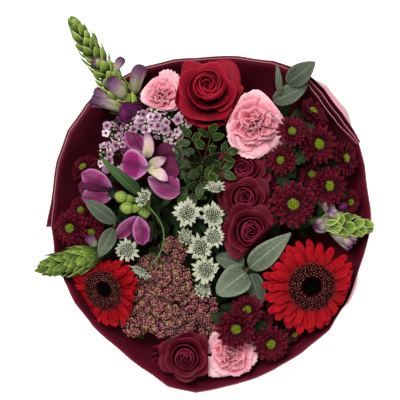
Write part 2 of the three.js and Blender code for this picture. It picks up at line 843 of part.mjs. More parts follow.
function rod(points, radius, sides) {
  const loops = ringsAlong(points, radius, sides);
  const positions = loops.flat().flatMap((point) => point.toArray());
  const index = [];
  const last = (points.length - 1) * sides;
  for (let k = 0; k < last; k += sides) {
    for (let c = 0; c < sides; c += 1) {
      const d = (c + 1) % sides;
      index.push(k + c, k + d, k + sides + d, k + c, k + sides + d, k + sides + c);
    }
  }
  for (let c = 1; c < sides - 1; c += 1) {
    index.push(0, c + 1, c);
    index.push(last, last + c, last + c + 1);
  }
  const geometry = new THREE.BufferGeometry();
  geometry.setAttribute('position', new THREE.BufferAttribute(new Float32Array(positions), 3));
  geometry.setIndex(index);
  return geometry;
}

const ground = solidOf(new THREE.BoxGeometry(400, 400, 40).translate(0, 0, -20));

// Few points of a routed strand, from its head down: some above the tie, the tie, the ground.
function strandPoints(item, lift = 0) {
  const tip = item.end.clone().addScaledVector(item.axis, lift);
  const kept = (point, k) => k % 2 === 0 && point.z < tip.z - END_STRETCH;
  if (item.parent) {
    const middle = item.points.slice(1, -1).filter(kept);
    return [tip, ...middle.reverse(), item.points[0]];
  }
  const above = item.points.slice(TIE_LEVEL + 1, -1).filter(kept);
  return [tip, ...above.reverse(), spiralPoint(item.tie, TIE_HEIGHT), spiralPoint(item.tie, -4)];
}

function strandSolid(item, sides) {
  const solid = solidOf(rod(strandPoints(item, 1).reverse(), item.radius, sides));
  return item.parent ? solid : solid.subtract(ground);
}

// A bloom in one body with its own stem or twig.
function bloomOnStrand(item, rings, top, strandItem, sides, drop = -1.5) {
  const grownOn = { points: strandPoints(strandItem, drop), radius: strandItem.radius, sides };
  const solid = bloom(item, rings, { top, grownOn });
  return strandItem.parent ? solid : solid.subtract(ground);
}

// Planning and building: each flower registers its heads and stems, and leaves a build step.

const bouquet = new THREE.Group();
const steps = [];

function add(name, colour, solids) {
  const material = new THREE.MeshStandardMaterial({ color: COLOURS[colour], roughness: 0.7, metalness: 0 });
  const mesh = new THREE.Mesh(geometryOf(joined(solids).simplify(FINE)), material);
  mesh.name = name;
  bouquet.add(mesh);
}

// A rose: whorls of pointed petals, each steeper than the one outside it, round a rolled bud.
function planRose(name, colour, spec) {
  const { whorls } = spec;
  const depth = spec.radius * 1.25;
  const item = head(spec, `${name}_bloom`, depth, depth * 0.55);
  const { radius } = item;
  const stemNode = `${name}_stem`;
  item.bloomOf = stemNode;
  const stem = strand({ node: stemNode, radius: radius > 30 ? 3.2 : 2.6, end: item.base, axis: item.axis });
  steps.push(() => {
    const rings = [circle(6, radius * 0.26, SEAT)];
    for (let k = 0; k < whorls; k += 1) {
      const share = k / whorls;
      const petals = {
        petals: 5,
        tip: radius * mix(0.96, 0.1, share),
        valley: radius * mix(0.8, 0.08, share),
        low: depth * 0.3,
        high: depth * mix(0.8, 1, share ** 0.5),
        points: 3,
        turn: k * 0.63,
        point: mix(0.06, 0, share),
      };
      const [under, over] = whorl(petals);
      if (k === 0) rings.push(circle(8, radius * 0.66, depth * 0.3));
      rings.push(under, over);
      rings.push(circle(6, radius * mix(0.66, 0.12, (k + 1) / whorls), depth * mix(0.42, 0.7, share)));
    }
    add(item.node, colour, [bloom(item, rings, { top: depth * 0.9, bottom: SEAT })]);
    const sepals = {
      petals: 5,
      tip: radius * 0.55,
      valley: 5,
      low: -3,
      high: -radius * 0.16 - 3,
      points: 1,
    };
    const [under, over] = whorl(sepals);
    add(stemNode, 'stem', [bloomOnStrand(item, [under, over], 0, stem, 4, -9)]);
  });
}

// A carnation: whorls of cut-edged petals, each steeper and shorter than the one below.
function planCarnation(name, spec) {
  const { whorls } = spec;
  const depth = spec.radius * 0.85;
  const item = head(spec, `${name}_bloom`, depth, depth * 0.6);
  const { radius } = item;
  const stemNode = `${name}_stem`;
  item.bloomOf = stemNode;
  const stem = strand({ node: stemNode, radius: 2.4, end: item.base, axis: item.axis });
  steps.push(() => {
    const rings = [circle(6, radius * 0.2, SEAT)];
    for (let k = 0; k < whorls; k += 1) {
      const share = k / (whorls - 1);
      const petals = {
        petals: 7,
        tip: radius * mix(1, 0.34, share),
        valley: radius * mix(0.6, 0.2, share),
        low: depth * mix(0.1, 0.5, share),
        high: depth * mix(0.55, 1, share),
        points: 3,
        turn: k * 0.45,
      };
      rings.push(...whorl(petals));
      rings.push(circle(7, radius * mix(0.42, 0.08, share), depth * mix(0.4, 0.72, share), k * 0.45));
    }
    add(item.node, 'carnation', [bloom(item, rings, { top: depth * 0.8, bottom: SEAT })]);
    const tube = [circle(5, 5.6, -3)];
    add(stemNode, 'stem', [bloomOnStrand(item, tube, 0, stem, 4, -20)]);
  });
}

function planGerbera(name, spec) {
  const { rays } = spec;
  const depth = 9;
  const item = head(spec, `${name}_rays`, depth, 7);
  const { radius } = item;
  const discNode = `${name}_disc`;
  const stemNode = `${name}_stem`;
  item.bloomOf = stemNode;
  const stem = strand({ node: stemNode, radius: 3, end: item.base, axis: item.axis });
  steps.push(() => {
    const reach = { petals: rays, valley: radius * 0.4, points: 2 };
    const inside = radius * 0.34;
    const rings = [
      circle(8, radius * 0.2, SEAT),
      ...whorl({ ...reach, tip: radius, low: 0.6, high: radius * 0.08 }),
      circle(rays, inside, 2.6),
      ...whorl({ ...reach, tip: radius * 0.85, low: 3, high: radius * 0.26, turn: Math.PI / rays }),
      circle(rays, inside, 4.6, Math.PI / rays),
    ];
    add(item.node, 'gerbera', [bloom(item, rings, { top: 4.6, bottom: SEAT })]);
    const low = 4.6 + SEAT;
    const florets = [
      circle(12, inside * 0.8, low),
      chequered(12, inside * 0.98, low + 1.6, 0, 0.02),
      chequered(12, inside * 0.8, low + 3.4, 1, 0.06),
      chequered(12, inside * 0.5, low + 3.8, 0, 0.06),
    ];
    add(discNode, 'gerberaDisc', [bloom(item, florets, { top: low + 2.2, bottom: low })]);
    const cup = [circle(7, radius * 0.2, -3)];
    add(stemNode, 'stem', [bloomOnStrand(item, cup, 0, stem, 4, -8)]);
  });
}

// A spray: one stem that forks below its heads, with a twig to each.
function planSpray(node, specs, { depth, half, stemRadius, twigRadius, drop }) {
  const items = specs.map((spec) => head(spec, node, depth, half));
  const middle = new THREE.Vector3();
  for (const item of items) middle.addScaledVector(item.base, 1 / items.length);
  const low = Math.min(...items.map((item) => item.base.z)) - drop;
  const share = (low - TIE_HEIGHT) / (middle.z - TIE_HEIGHT);
  middle.set(mix(AXIS[0], middle.x, share), mix(AXIS[1], middle.y, share), low);
  const up = new THREE.Vector3(0, 0, 1);
  const stem = strand({ node, radius: stemRadius, end: middle, axis: up });
  const twigs = items.map((item) =>
    strand({ node, radius: twigRadius, parent: stem, start: low - 2, end: item.base, axis: item.axis }),
  );
  return { items, stem, twigs };
}

function planChrysanthemums(name, specs) {
  const size = { depth: 3, half: 6, stemRadius: 2, twigRadius: 1.1, drop: 42 };
  const { items, stem, twigs } = planSpray(name, specs, size);
  steps.push(() => {
    const solids = items.map((item, k) => {
      const r = item.radius;
      const count = r < 18 ? { petals: 10, points: 1 } : { petals: 9, points: 2 };
      const rays = { ...count, tip: r, valley: r * 0.5, low: 0.5, high: r * 0.28, turn: k };
      return bloomOnStrand(item, [...whorl(rays), circle(7, r * 0.28, 2.4, k)], 4.6, twigs[k], 3);
    });
    add(name, 'chrysanthemum', [strandSolid(stem, 4), ...solids]);
  });
}

function planAstrantia(name, specs) {
  const size = { depth: 3, half: 5, stemRadius: 1.6, twigRadius: 0.9, drop: 50 };
  const { items, stem, twigs } = planSpray(name, specs, size);
  steps.push(() => {
    const solids = items.map((item, k) => {
      const r = item.radius;
      const bracts = { petals: 9, tip: r, valley: r * 0.5, low: 0.5, high: r * 0.25, points: 1, turn: k };
      const rings = [...whorl(bracts), circle(5, r * 0.4, 3, k)];
      return bloomOnStrand(item, rings, 4.8, twigs[k], 3);
    });
    add(name, 'astrantia', [strandSolid(stem, 4), ...solids]);
  });
}

function planWaxflower(name, places) {
  const specs = places.map((place, k) => ({ place, lean: [20 + 5 * (k % 3), 60 * k], radius: 7.5 }));
  const size = { depth: 2, half: 3, stemRadius: 1.5, twigRadius: 0.8, drop: 46 };
  const { items, stem, twigs } = planSpray(name, specs, size);
  steps.push(() => {
    const solids = items.map((item, k) => {
      const tip = item.radius;
      const petals = { petals: 5, tip, valley: tip * 0.5, low: 0, high: 1.6, points: 1, turn: k };
      return bloomOnStrand(item, whorl(petals), 1, twigs[k], 3);
    });
    add(name, 'waxflower', [strandSolid(stem, 4), ...solids]);
  });
}

// Sedum: tiny stars drawn together into a chequered relief over a dome, a cushion to a twig.
function planSedum(name, specs) {
  const size = { depth: 15, half: 9, stemRadius: 3.6, twigRadius: 1.7, drop: 40 };
  const { items, stem, twigs } = planSpray(name, specs, size);
  for (const item of items) item.crowded = true;
  steps.push(() => {
    const solids = items.map((item, k) => {
      const r = item.radius;
      const rings = [
        chequered(8, r * 0.96, 7, 0, 0.04),
        chequered(8, r * 0.98, 10, 1, 0.06),
        chequered(8, r * 0.7, 13.6, 0, 0.08),
        chequered(8, r * 0.34, 15, 1, 0.08),
      ];
      return bloomOnStrand(item, rings, 15.6, twigs[k], 4);
    });
    add(name, 'sedum', [strandSolid(stem, 4), ...solids]);
  });
}

// A pod: a pointed bud between its base and its tip.
function pod(base, tip, width, sides) {
  const axis = new THREE.Vector3().subVectors(tip, base);
  const length = axis.length();
  const profile = [
    [0, 0],
    [width * 0.5, length * 0.4],
    [0, length],
  ];
  const turn = new THREE.Quaternion().setFromUnitVectors(new THREE.Vector3(0, 0, 1), axis.normalize());
  return turned(profile, sides).applyQuaternion(turn).translate(base.x, base.y, base.z);
}

// A snapdragon: a spike of buds, as a relief that stands out by turns, and open blooms at its foot.
function planSnapdragon(name, { root, tip, thick, rows, blooms }) {
  const from = seen(root);
  const to = seen(tip);
  const spine = new THREE.Vector3().subVectors(to, from);
  const length = spine.length();
  const along = spine.clone().normalize();
  const upright = new THREE.Quaternion().setFromUnitVectors(new THREE.Vector3(0, 0, 1), along);
  const matrix = new THREE.Matrix4().compose(from, upright, new THREE.Vector3(1, 1, 1));
  const spike = { axis: along, matrix };
  spike.stretch = [0.15, 0.5, 0.85].map((share) => ({
    node: name,
    radius: thick + 3,
    half: thick,
    centre: from.clone().addScaledVector(spine, share),
  }));
  heads.push(...spike.stretch);
  const lean = along.clone().setZ(Math.max(along.z, 0.4)).normalize();
  const stem = strand({ node: name, radius: 2.1, end: from, axis: lean });
  const flowers = blooms.map(([x, y], k) => {
    const centre = seen([x, y, root[2] + 4 + 2 * k]);
    const item = { node: name, radius: 10, half: 7, centre };
    heads.push(item);
    return item;
  });
  steps.push(() => {
    const rings = [];
    for (let k = 0; k < rows; k += 1) {
      const share = (k + 0.6) / rows;
      const bulk = thick * mix(1, 0.42, share ** 1.3);
      const ring = circle(8, bulk, length * share).map(([angle, r, z], c) => {
        const out = (c + k) % 2 === 0;
        return [angle, r * (out ? 1.1 : 0.6), z + (out ? (0.35 * length) / rows : 0)];
      });
      rings.push(ring);
    }
    const solids = [bloomOnStrand(spike, rings, length, stem, 4, 2)];
    for (const item of flowers) {
      const reach = new THREE.Vector3().subVectors(item.centre, from).normalize();
      const base = item.centre.clone().addScaledVector(reach, -8);
      const point = item.centre.clone().addScaledVector(reach, 10);
      solids.push(pressed(pod(base, point, 15, 6), item));
      solids.push(solidOf(rod([from, base.addScaledVector(reach, 4)], 1.2, 3)));
    }
    add(name, 'snapdragon', solids);
  });
}

function planTwig(name, { top, leaves }, { radius, along, colour }) {
  const end = seen(top);
  const up = new THREE.Vector3(0, 0, 1);
  const stem = strand({ node: name, radius, end, axis: up });
  const items = leaves.map((leaf) => strip(name, leaf.base, leaf.tip, leaf.width));
  steps.push(() => {
    const solids = [strandSolid(stem, 4)];
    leaves.forEach((leaf, k) => {
      const fork = pointAt(stem, end.z - 4 * k);
      solids.push(solidOf(leafSheet(leaf, fork, along, items[k])));
    });
    add(name, colour, solids);
  });
}

const FORK = 318; // height at which the alstroemeria's stem forks

// An alstroemeria: blooms with broad outer and narrow inner tepals, buds and a long leaf.
function planAlstroemeria(name, { open, back, droop, buds, leaf }) {
  const stemNode = `${name}_stem`;
  const flowers = [
    { spec: open, node: `${name}_open_bloom`, outer: 3, rise: 0.45 },
    { spec: back, node: `${name}_side_bloom`, outer: 4, rise: 0.7 },
    { spec: droop, node: `${name}_drooping_bloom`, outer: 4, rise: 0.6 },
  ];
  const small = (item) => {
    item.bloomOf = stemNode;
    return item;
  };
  for (const flower of flowers) {
    flower.item = small(head(flower.spec, flower.node, flower.spec.radius * 0.5, flower.spec.radius * 0.4));
  }
  const pods = buds.map((place) => head({ place, radius: 7 }, stemNode, 16, 8));
  const leafItem = strip(stemNode, leaf.base, leaf.tip, leaf.width);
  const end = new THREE.Vector3(mix(AXIS[0], back.place[0], 0.52), mix(AXIS[1], back.place[1], 0.44), FORK);
  const up = new THREE.Vector3(0, 0, 1);
  const stem = strand({ node: stemNode, radius: 2.8, end, axis: up });
  const fork = { node: stemNode, radius: 1.3, parent: stem, start: FORK - 4 };
  const twig = ({ base, axis }) => strand({ ...fork, end: base, axis });
  const twigs = flowers.map(({ item }) => twig(item));
  const budTwigs = pods.map(twig);
  steps.push(() => {
    for (const { item, node, outer, rise } of flowers) {
      const r = item.radius;
      const top = r * rise;
      const broad = { petals: outer, tip: r, valley: r * 0.22, low: 1, high: top, points: 3 };
      const inner = { petals: 3, tip: r * 0.72, valley: r * 0.14, points: 2, turn: 1 };
      const narrow = { ...inner, low: 3, high: top + 3 };
      const rings = [
        circle(5, 2.6, SEAT),
        ...whorl(broad),
        circle(6, r * 0.16, 4),
        ...whorl(narrow),
        circle(5, r * 0.1, 6),
      ];
      add(node, 'alstroemeria', [bloom(item, rings, { top: 8, bottom: SEAT })]);
    }
    const solids = [strandSolid(stem, 4)];
    flowers.forEach(({ item }, k) => {
      solids.push(bloomOnStrand(item, [circle(5, 3.4, -1.6)], 0, twigs[k], 3, -8));
    });
    pods.forEach((item, k) => {
      const rings = [circle(6, 4.5, 4), circle(6, 5.8, 10)];
      solids.push(bloomOnStrand(item, rings, 17, budTwigs[k], 3));
    });
    solids.push(solidOf(leafSheet(leaf, pointAt(budTwigs[1], leaf.base[2] - 22), 4, leafItem)));
    add(stemNode, 'stem', solids);
  });
}

// Wrapper and ties

const LAYER = PAPER + PAPER_GAP;
const LAP_START = 1; // rim corner at which the inner sheet starts
const LAP_END = 4; // rim corner to which it overlaps itself
const OUTER_END = 15; // rim corner of the notch at which the outer sheet ends

// A sheet of paper between two rim corners, as far outside the wall as the offset says.
function paperSheet(first, last, offset, drop) {
  const rises = [0.3, 0.6, 0.9, 1];
  const below = [PAPER_FOOT, mix(PAPER_FOOT, TIE_HEIGHT, 0.5), TIE_HEIGHT];
  const rows = below.length + rises.length;
  const point = (u, v) => {
    const column = first + Math.round(u * (last - first));
    const row = Math.round(v * (rows - 1));
    const k = column % rim.length;
    const corner = rim[k];
    const rise = Math.max(0, rises[row - below.length] ?? 0);
    const z = row < below.length ? below[row] : mix(TIE_HEIGHT, corner.z, rise);
    const radius = wallRadius(corner, z, k) + PAPER / 2 + offset(column, rise);
    const height = z - (rise === 1 ? drop : 0);
    return new THREE.Vector3(
      AXIS[0] + radius * Math.cos(corner.angle),
      AXIS[1] + radius * Math.sin(corner.angle),
      height,
    );
  };
  return solidOf(sheet(point, last - first, rows - 1, PAPER));
}

function addWrapper() {
  const lapped = (column) => (column > rim.length ? LAYER : 0);
  add('wrapper_inner', 'paper', [paperSheet(LAP_START, rim.length + LAP_END, lapped, 0)]);
  const outside = (column, rise) => 2 * LAYER + 3 * rise ** 2 + (column === OUTER_END ? 3 * rise : 0);
  add('wrapper_outer', 'paper', [paperSheet(LAP_START, OUTER_END, outside, 2)]);
}

function ring(profile, sides) {
  const closed = [...profile, profile[0]];
  return solidOf(turned(closed, sides).translate(AXIS[0], AXIS[1], TIE_HEIGHT));
}

function addTies() {
  const stems = strands.filter((item) => item.tie);
  const bundle = Math.max(...stems.map((item) => item.tie.length() + item.radius));
  const inside = (bundle + 0.45) / Math.cos(Math.PI / 12);
  const outside = PAPER_RADIUS - 0.5;
  const twine = [
    [inside, -5],
    [outside - 1.3, -5],
    [outside, -2.5],
    [outside - 1.3, 0],
    [outside, 2.5],
    [outside - 1.3, 5],
    [inside, 5],
  ];
  add('binding_twine', 'twine', [ring(twine, 12)]);
  const waist = PAPER_RADIUS + PLEAT + 2 * LAYER + PAPER + 1.6;
  const band = [
    [waist, 0],
    [waist + 6, 7],
    [waist + 7, 7],
    [waist + 1.2, 0],
    [waist + 7, -7],
    [waist + 6, -7],
  ];
  const front = new THREE.Vector3(AXIS[0], AXIS[1] - waist, TIE_HEIGHT);
  const knot = turned(
    [
      [0, -5],
      [5, -4],
      [6, 0],
      [5, 4],
      [0, 5],
    ],
    6,
  ).translate(front.x, front.y - 3, front.z);
  const tail = (lean) => {
    const reach = [
      [3, 0],
      [11, 12],
      [24, 46],
      [27, 70],
      [24, 96],
    ];
    return sheet(
      (u, v) => {
        const [out, down] = reach[Math.round(v * (reach.length - 1))];
        const slant = Math.round(v) * (u - 0.5) * 8;
        const across = lean * (2 + down * 0.22) + (u - 0.5) * 12;
        return new THREE.Vector3(front.x + across, front.y - out, front.z - down - slant);
      },
      1,
      reach.length - 1,
      PETAL,
    );
  };
  add('ribbon', 'ribbon', [ring(band, 12), solidOf(knot), solidOf(tail(-1)), solidOf(tail(1))]);
}

planRose('red_rose', 'redRose', RED_ROSE);
DARK_ROSES.forEach((spec, k) => planRose(`dark_rose_${k + 1}`, 'darkRose', spec));
CARNATIONS.forEach((spec, k) => planCarnation(`carnation_${k + 1}`, spec));
GERBERAS.forEach((spec, k) => planGerbera(`gerbera_${k + 1}`, spec));
CHRYSANTHEMUM_SPRAYS.forEach((specs, k) => planChrysanthemums(`chrysanthemum_spray_${k + 1}`, specs));
ASTRANTIAS.forEach((specs, k) => planAstrantia(`astrantia_${k + 1}`, specs));
planSedum('sedum', SEDUM_CUSHIONS);
WAXFLOWER_TWIGS.forEach((places, k) => planWaxflower(`waxflower_${k + 1}`, places));
SNAPDRAGONS.forEach((spec, k) => planSnapdragon(`snapdragon_${k + 1}`, spec));
EUCALYPTUS.forEach((spec, k) =>
  planTwig(`eucalyptus_${k + 1}`, spec, { radius: 1.5, along: 4, colour: 'eucalyptus' }),
);
SPRIGS.forEach((spec, k) =>
  planTwig(`leafy_twig_${k + 1}`, spec, { radius: 1.3, along: 3, colour: 'leaf' }),
);
planAlstroemeria('alstroemeria', ALSTROEMERIA);

packTie();
for (const item of strands) if (!item.parent) firstRoute(item);
for (const item of strands) if (item.parent) firstRoute(item);
bendClear(240);
for (const build of steps) build();

addWrapper();
addTies();

const box = new THREE.Box3().setFromObject(bouquet);
const shift = new THREE.Vector3(-(box.min.x + box.max.x) / 2, -(box.min.y + box.max.y) / 2, -box.min.z);
for (const { geometry } of bouquet.children) geometry.translate(shift.x, shift.y, shift.z);

export default bouquet;
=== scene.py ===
"""A mixed flower bouquet in its paper wrapper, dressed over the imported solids."""

import math

import bpy
import numpy as np
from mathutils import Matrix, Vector


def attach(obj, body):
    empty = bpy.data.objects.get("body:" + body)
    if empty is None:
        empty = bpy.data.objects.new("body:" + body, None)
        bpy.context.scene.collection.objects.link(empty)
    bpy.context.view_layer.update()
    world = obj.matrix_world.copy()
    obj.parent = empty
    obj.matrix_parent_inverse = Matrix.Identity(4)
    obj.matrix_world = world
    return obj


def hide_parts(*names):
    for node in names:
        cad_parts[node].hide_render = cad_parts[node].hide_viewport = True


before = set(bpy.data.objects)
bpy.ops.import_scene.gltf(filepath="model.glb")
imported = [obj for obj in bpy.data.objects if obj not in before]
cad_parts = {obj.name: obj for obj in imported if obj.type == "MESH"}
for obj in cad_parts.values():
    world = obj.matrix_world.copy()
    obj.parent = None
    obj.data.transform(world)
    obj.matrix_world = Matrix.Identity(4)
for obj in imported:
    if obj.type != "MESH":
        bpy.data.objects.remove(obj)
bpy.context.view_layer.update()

# Plan of the bouquet, in mm

SHIFT = np.array([-5.852, 6.285, 0.0])  # from the plan's middle to the model's
FACE_HEIGHT = 380.0  # height at which a plan place is read at its true size
EYE_HEIGHT = 1980.0  # the camera's height above the ground
AXIS = np.array([10.0, -26.0])  # plan place of the wrapper's axis
TIE_HEIGHT = 130.0  # where the stems are bound, above the ground
PAPER_RADIUS = 24.0  # inside of the paper at the tie
PAPER_FOOT = 84.0  # the paper's lower edge, above the ground
PAPER = 0.7  # thickness of the paper
LAYER = 1.9  # one layer of paper and the gap to the next
FULL = 1.1  # size of a head before its neighbours press it
FREE = 0.85  # share of the way to a neighbour over which a petal isn't pressed
WALL_GAP = 2.6  # from a petal to the inside of the paper
FLARE = 3.0  # how far out a petal may lie for each millimetre above the rim
BLOTCH = 5.26  # width of the blotches in a petal's colour
TUCK_IN = 9  # how far the rim is drawn in where it is folded in
MM = 1000  # millimetres in a metre
CUT_BELOW = 0.03  # metres above the ground under which a stem's cut end lies
WELD = 0.00002  # metres apart under which two corners of a stem are one
TURN = 2 * math.pi
GOLDEN = 2.39996  # turn from one leaf or floret to the next as plants grow them, in radians
ANY_TURN = (0, 6.28)  # range of a turn drawn at random

# Of each bloom: the place of its face, its lean and the way it leans in degrees, its radius.
RED_ROSE = ([8, 107, 390], [12, 90], 37)
DARK_ROSES = [
    ([43, 33, 366], [14, 100], 25),
    ([45, 3, 379], [10, 100], 25),
    ([52, -31, 391], [6, 0], 28),
    ([-15, -159, 370], [10, 240], 25),
    ([-38, -169, 344], [40, 225], 19),
]
CARNATIONS = [
    ([-39, 107, 372], [8, 130], 23),
    ([57, 73, 382], [14, 300], 34),
    ([31, -158, 364], [10, 280], 28),
]
GERBERAS = [([112, -87, 370], [8, 300], 46), ([-97, -90, 362], [32, 215], 40)]
CHRYSANTHEMUMS = [
    [([92, 69, 390], [6, 100], 15), ([81, 40, 374], [12, 180], 15), ([113, 89, 366], [58, 50], 18)],
    [([119, 56, 376], [24, 15], 20), ([112, 26, 352], [10, 180], 14), ([146, 42, 364], [52, 10], 18)],
    [
        ([93, -4, 384], [5, 270], 22),
        ([129, 14, 374], [24, 10], 20),
        ([151, -2, 350], [20, 350], 12),
        ([80, 19, 346], [5, 180], 13),
    ],
    [([-130, -28, 360], [14, 190], 18), ([-109, -32, 352], [10, 300], 15), ([-119, -10, 346], [20, 170], 14)],
    [([-103, 0, 340], [10, 180], 13), ([-117, 33, 354], [50, 130], 15)],
    [([47, -110, 370], [8, 60], 16), ([36, -129, 380], [14, 290], 20), ([62, -124, 350], [10, 0], 12)],
    [([79, -107, 346], [20, 180], 14), ([71, -144, 362], [16, 300], 18), ([95, -135, 340], [25, 320], 12)],
]
ASTRANTIAS = [
    [
        ([-13, -13, 382], [10, 120], 14), ([13, -15, 374], [10, 60], 13),
        ([15, 13, 384], [50, 90], 10), ([-14, -37, 372], [30, 20], 9),
    ],
    [
        ([14, -37, 388], [5, 0], 11), ([0, -48, 376], [12, 160], 13), ([6, -70, 380], [8, 200], 14),
        ([3, -90, 366], [20, 270], 9),
    ],
    [([-57, 2, 388], [45, 150], 10), ([-73, -50, 378], [15, 250], 12), ([-59, -72, 390], [62, 240], 11)],
]
# Of each cushion of the sedum: its place and radius.
SEDUM = [
    ([-51, -71, 360], 15), ([-28, -52, 364], 15), ([-56, -96, 364], 18), ([-28, -82, 370], 20),
    ([-2, -108, 364], 19), ([-66, -122, 358], 16), ([-38, -118, 368], 20), ([-16, -134, 356], 14),
    ([12, -130, 352], 14),
]
WAXFLOWERS = [
    [
        [-88, 70, 358], [-92, 50, 356], [-80, 58, 362], [-72, 70, 364], [-95, 36, 352],
        [-70, 50, 356], [-76, 26, 358],
    ],
    [
        [-62, 86, 366], [-54, 76, 368], [-47, 88, 364], [-36, 82, 362], [-40, 68, 366],
        [-26, 62, 360], [-17, 80, 364], [-24, 48, 354],
    ],
]
# Of each spike: its foot, its tip, its thickness and the plan places of its flowers.
SNAPDRAGONS = [
    ([-72, 92, 352], [-130, 183, 398], 11, [[-60, 120], [-85, 118], [-101, 106]]),
    ([-104, -56, 356], [-161, -69, 372], 11, []),
    ([124, -22, 360], [170, -28, 372], 9, [[122, -4], [118, -24], [138, -44]]),
]
SNAP_FLOWERS = [  # foot, tip, width, how open, which finish
    [
        ([-66, 108, 360], [-59, 134, 374], 15, 0.0, 2),
        ([-76, 104, 372], [-90, 121, 386], 14, 0.0, 2),
        ([-88, 128, 374], [-77, 142, 378], 8, 0.0, 2),
        ([-92, 134, 380], [-108, 140, 386], 8, 0.0, 2),
        ([-74, 92, 356], [-108, 106, 366], 16, 0.7, 2),
        ([-58, 91, 356], [-80, 87, 364], 21, 0.7, 4),
    ],
    [([-104, -46, 352], [-112, -36, 360], 9, 0.0, 2)],
    [
        ([132, -14, 356], [122, 5, 368], 14, 0.0, 2),
        ([134, -22, 358], [115, -27, 368], 14, 0.0, 2),
        ([138, -18, 364], [129, -10, 372], 10, 0.0, 2),
        ([130, -28, 356], [152, -45, 362], 14, 0.5, 2),
        ([144, -14, 352], [142, -4, 360], 9, 0.0, 4),
    ],
]
# Of each leaf, here and in the leafy twigs: its foot, its tip and its width.
EUCALYPTUS = [
    [
        ([87, 116, 370], [115, 138, 384], 20),
        ([72, 98, 364], [107, 114, 366], 18),
        ([80, 104, 369], [77, 136, 382], 6),
    ],
    [([-84, -23, 368], [-115, 0, 376], 15), ([-86, -28, 368], [-101, -57, 378], 15)],
    [
        ([46, -72, 374], [17, -94, 380], 28),
        ([49, -68, 372], [91, -33, 374], 22),
        ([44, -66, 366], [16, -56, 360], 18),
        ([50, -74, 364], [62, -104, 352], 18),
    ],
]
TWIG_TOPS = [[84, 104, 366], [-86, -25, 366], [47, -70, 372]]
SPRIG_TOPS = [[2, 38, 356], [-14, 22, 350]]
SPRIGS = [
    [
        ([4, 50, 366], [12, 70, 376], 15), ([8, 40, 366], [30, 48, 374], 15),
        ([-2, 48, 364], [-12, 66, 370], 14), ([-6, 40, 364], [-24, 44, 366], 14),
        ([-4, 34, 362], [-18, 26, 364], 14), ([10, 34, 366], [26, 26, 372], 13),
        ([2, 32, 366], [0, 12, 370], 14),
    ],
    [
        ([-14, 26, 360], [-30, 34, 358], 14), ([-18, 20, 360], [-36, 14, 362], 14),
        ([-10, 18, 360], [-8, 2, 362], 13), ([-8, 26, 358], [8, 24, 360], 13),
    ],
]
ALSTROEMERIAS = {
    "open": ([-50, 32, 378], [10, 200], 30),
    "side": ([-106, 17, 366], [40, 170], 17),
    "drooping": ([-68, -30, 366], [20, 250], 16),
}
ALSTROEMERIA_BUDS = [[-79, 3, 368], [-73, -8, 372], [-56, -12, 366]]
ALSTROEMERIA_LEAF = ([-58, 3, 366], [-99, 42, 382], 13)
# Of each corner of the paper's rim: its place, and how far the paper bulges under it.
RIM = [
    [171, -27, 350, 0], [168, 12, 350, 0], [157, 56, 354, 0], [142, 86, 356, 6], [123, 110, 356, 4],
    [101, 126, 354, 0], [72, 136, 352, 0], [40, 141, 350, 0], [8, 142, 350, 0], [-26, 138, 352, 0],
    [-58, 130, 354, 0], [-88, 117, 358, 0], [-112, 94, 362, 0], [-130, 68, 364, 0],
    [-141, 38, 362, 0], [-147, 4, 358, 0], [-148, -27, 354, 0], [-145, -52, 350, 0],
    [-136, -80, 348, 0], [-124, -103, 348, 0], [-107, -126, 348, 0], [-82, -148, 348, 0],
    [-58, -169, 350, 0], [-32, -186, 350, 0], [-4, -192, 350, 0], [36, -184, 348, 0],
    [74, -170, 348, 0], [102, -152, 348, 0], [129, -130, 350, 0], [147, -102, 350, 3],
    [160, -64, 350, 3],
]


def seen(place):
    """A plan place at its height, spread outwards as the eye sees it."""
    x, y, z = place
    scale = (EYE_HEIGHT - z) / (EYE_HEIGHT - FACE_HEIGHT)
    return np.array([x * scale, y * scale, float(z)])


def mix(a, b, t):
    """From a to b by the share t."""
    return a + (b - a) * t


def smooth(x, low, high):
    """Rises from 0 at low to 1 at high with soft ends."""
    t = np.clip((x - low) / (high - low), 0, 1)
    return t * t * (3 - 2 * t)


# Heads and the room each has


class Head:
    """A bloom's place: its base, its axis, its size, and the flattened ball that it fills."""

    def __init__(self, node, centre, radius, half, base=None, turn=None, depth=0.0, crowded=False):
        self.node, self.centre, self.radius, self.half = node, centre, radius, half
        self.base, self.turn, self.depth, self.crowded = base, turn, depth, crowded
        self.over = FLARE
        self.planes = None

    def place(self, points):
        return points @ self.turn.T + self.base

    def pressing(self):
        """The planes between this head and its neighbours, found once."""
        if self.planes is None:
            others = [o for o in heads if o is not self and (o.node != self.node or self.crowded)]
            self.planes = [p for p in (plane_between(self, o) for o in others) if p]
        return self.planes

    def within(self, base, turn):
        """A smaller head in the same room, which is pressed as this one is."""
        made = Head(self.node, self.centre, self.radius, self.half, base, turn)
        made.planes = self.pressing()
        return made


heads = []


def tilted_axis(tilt, towards):
    """The way of an axis that leans by the tilt in a direction, both in radians."""
    return np.array([math.sin(tilt) * math.cos(towards), math.sin(tilt) * math.sin(towards), math.cos(tilt)])


def around(turn, up=0.0):
    """A step of 1 mm outwards in the direction of the turn, raised by up."""
    return np.array([math.cos(turn), math.sin(turn), up])


def unit(way):
    """The same way, 1 mm long."""
    return way / np.linalg.norm(way)


def hump(s, low, run, power=1.0):
    """Part of a sine's arch, for a width that swells between its ends."""
    return np.sin(math.pi * np.clip(low + run * s, 0, 1)) ** power


def turned_to(axis):
    """The turn that takes straight up to an axis."""
    turn = Vector((0, 0, 1)).rotation_difference(Vector(axis)).to_matrix()
    return np.array(turn)


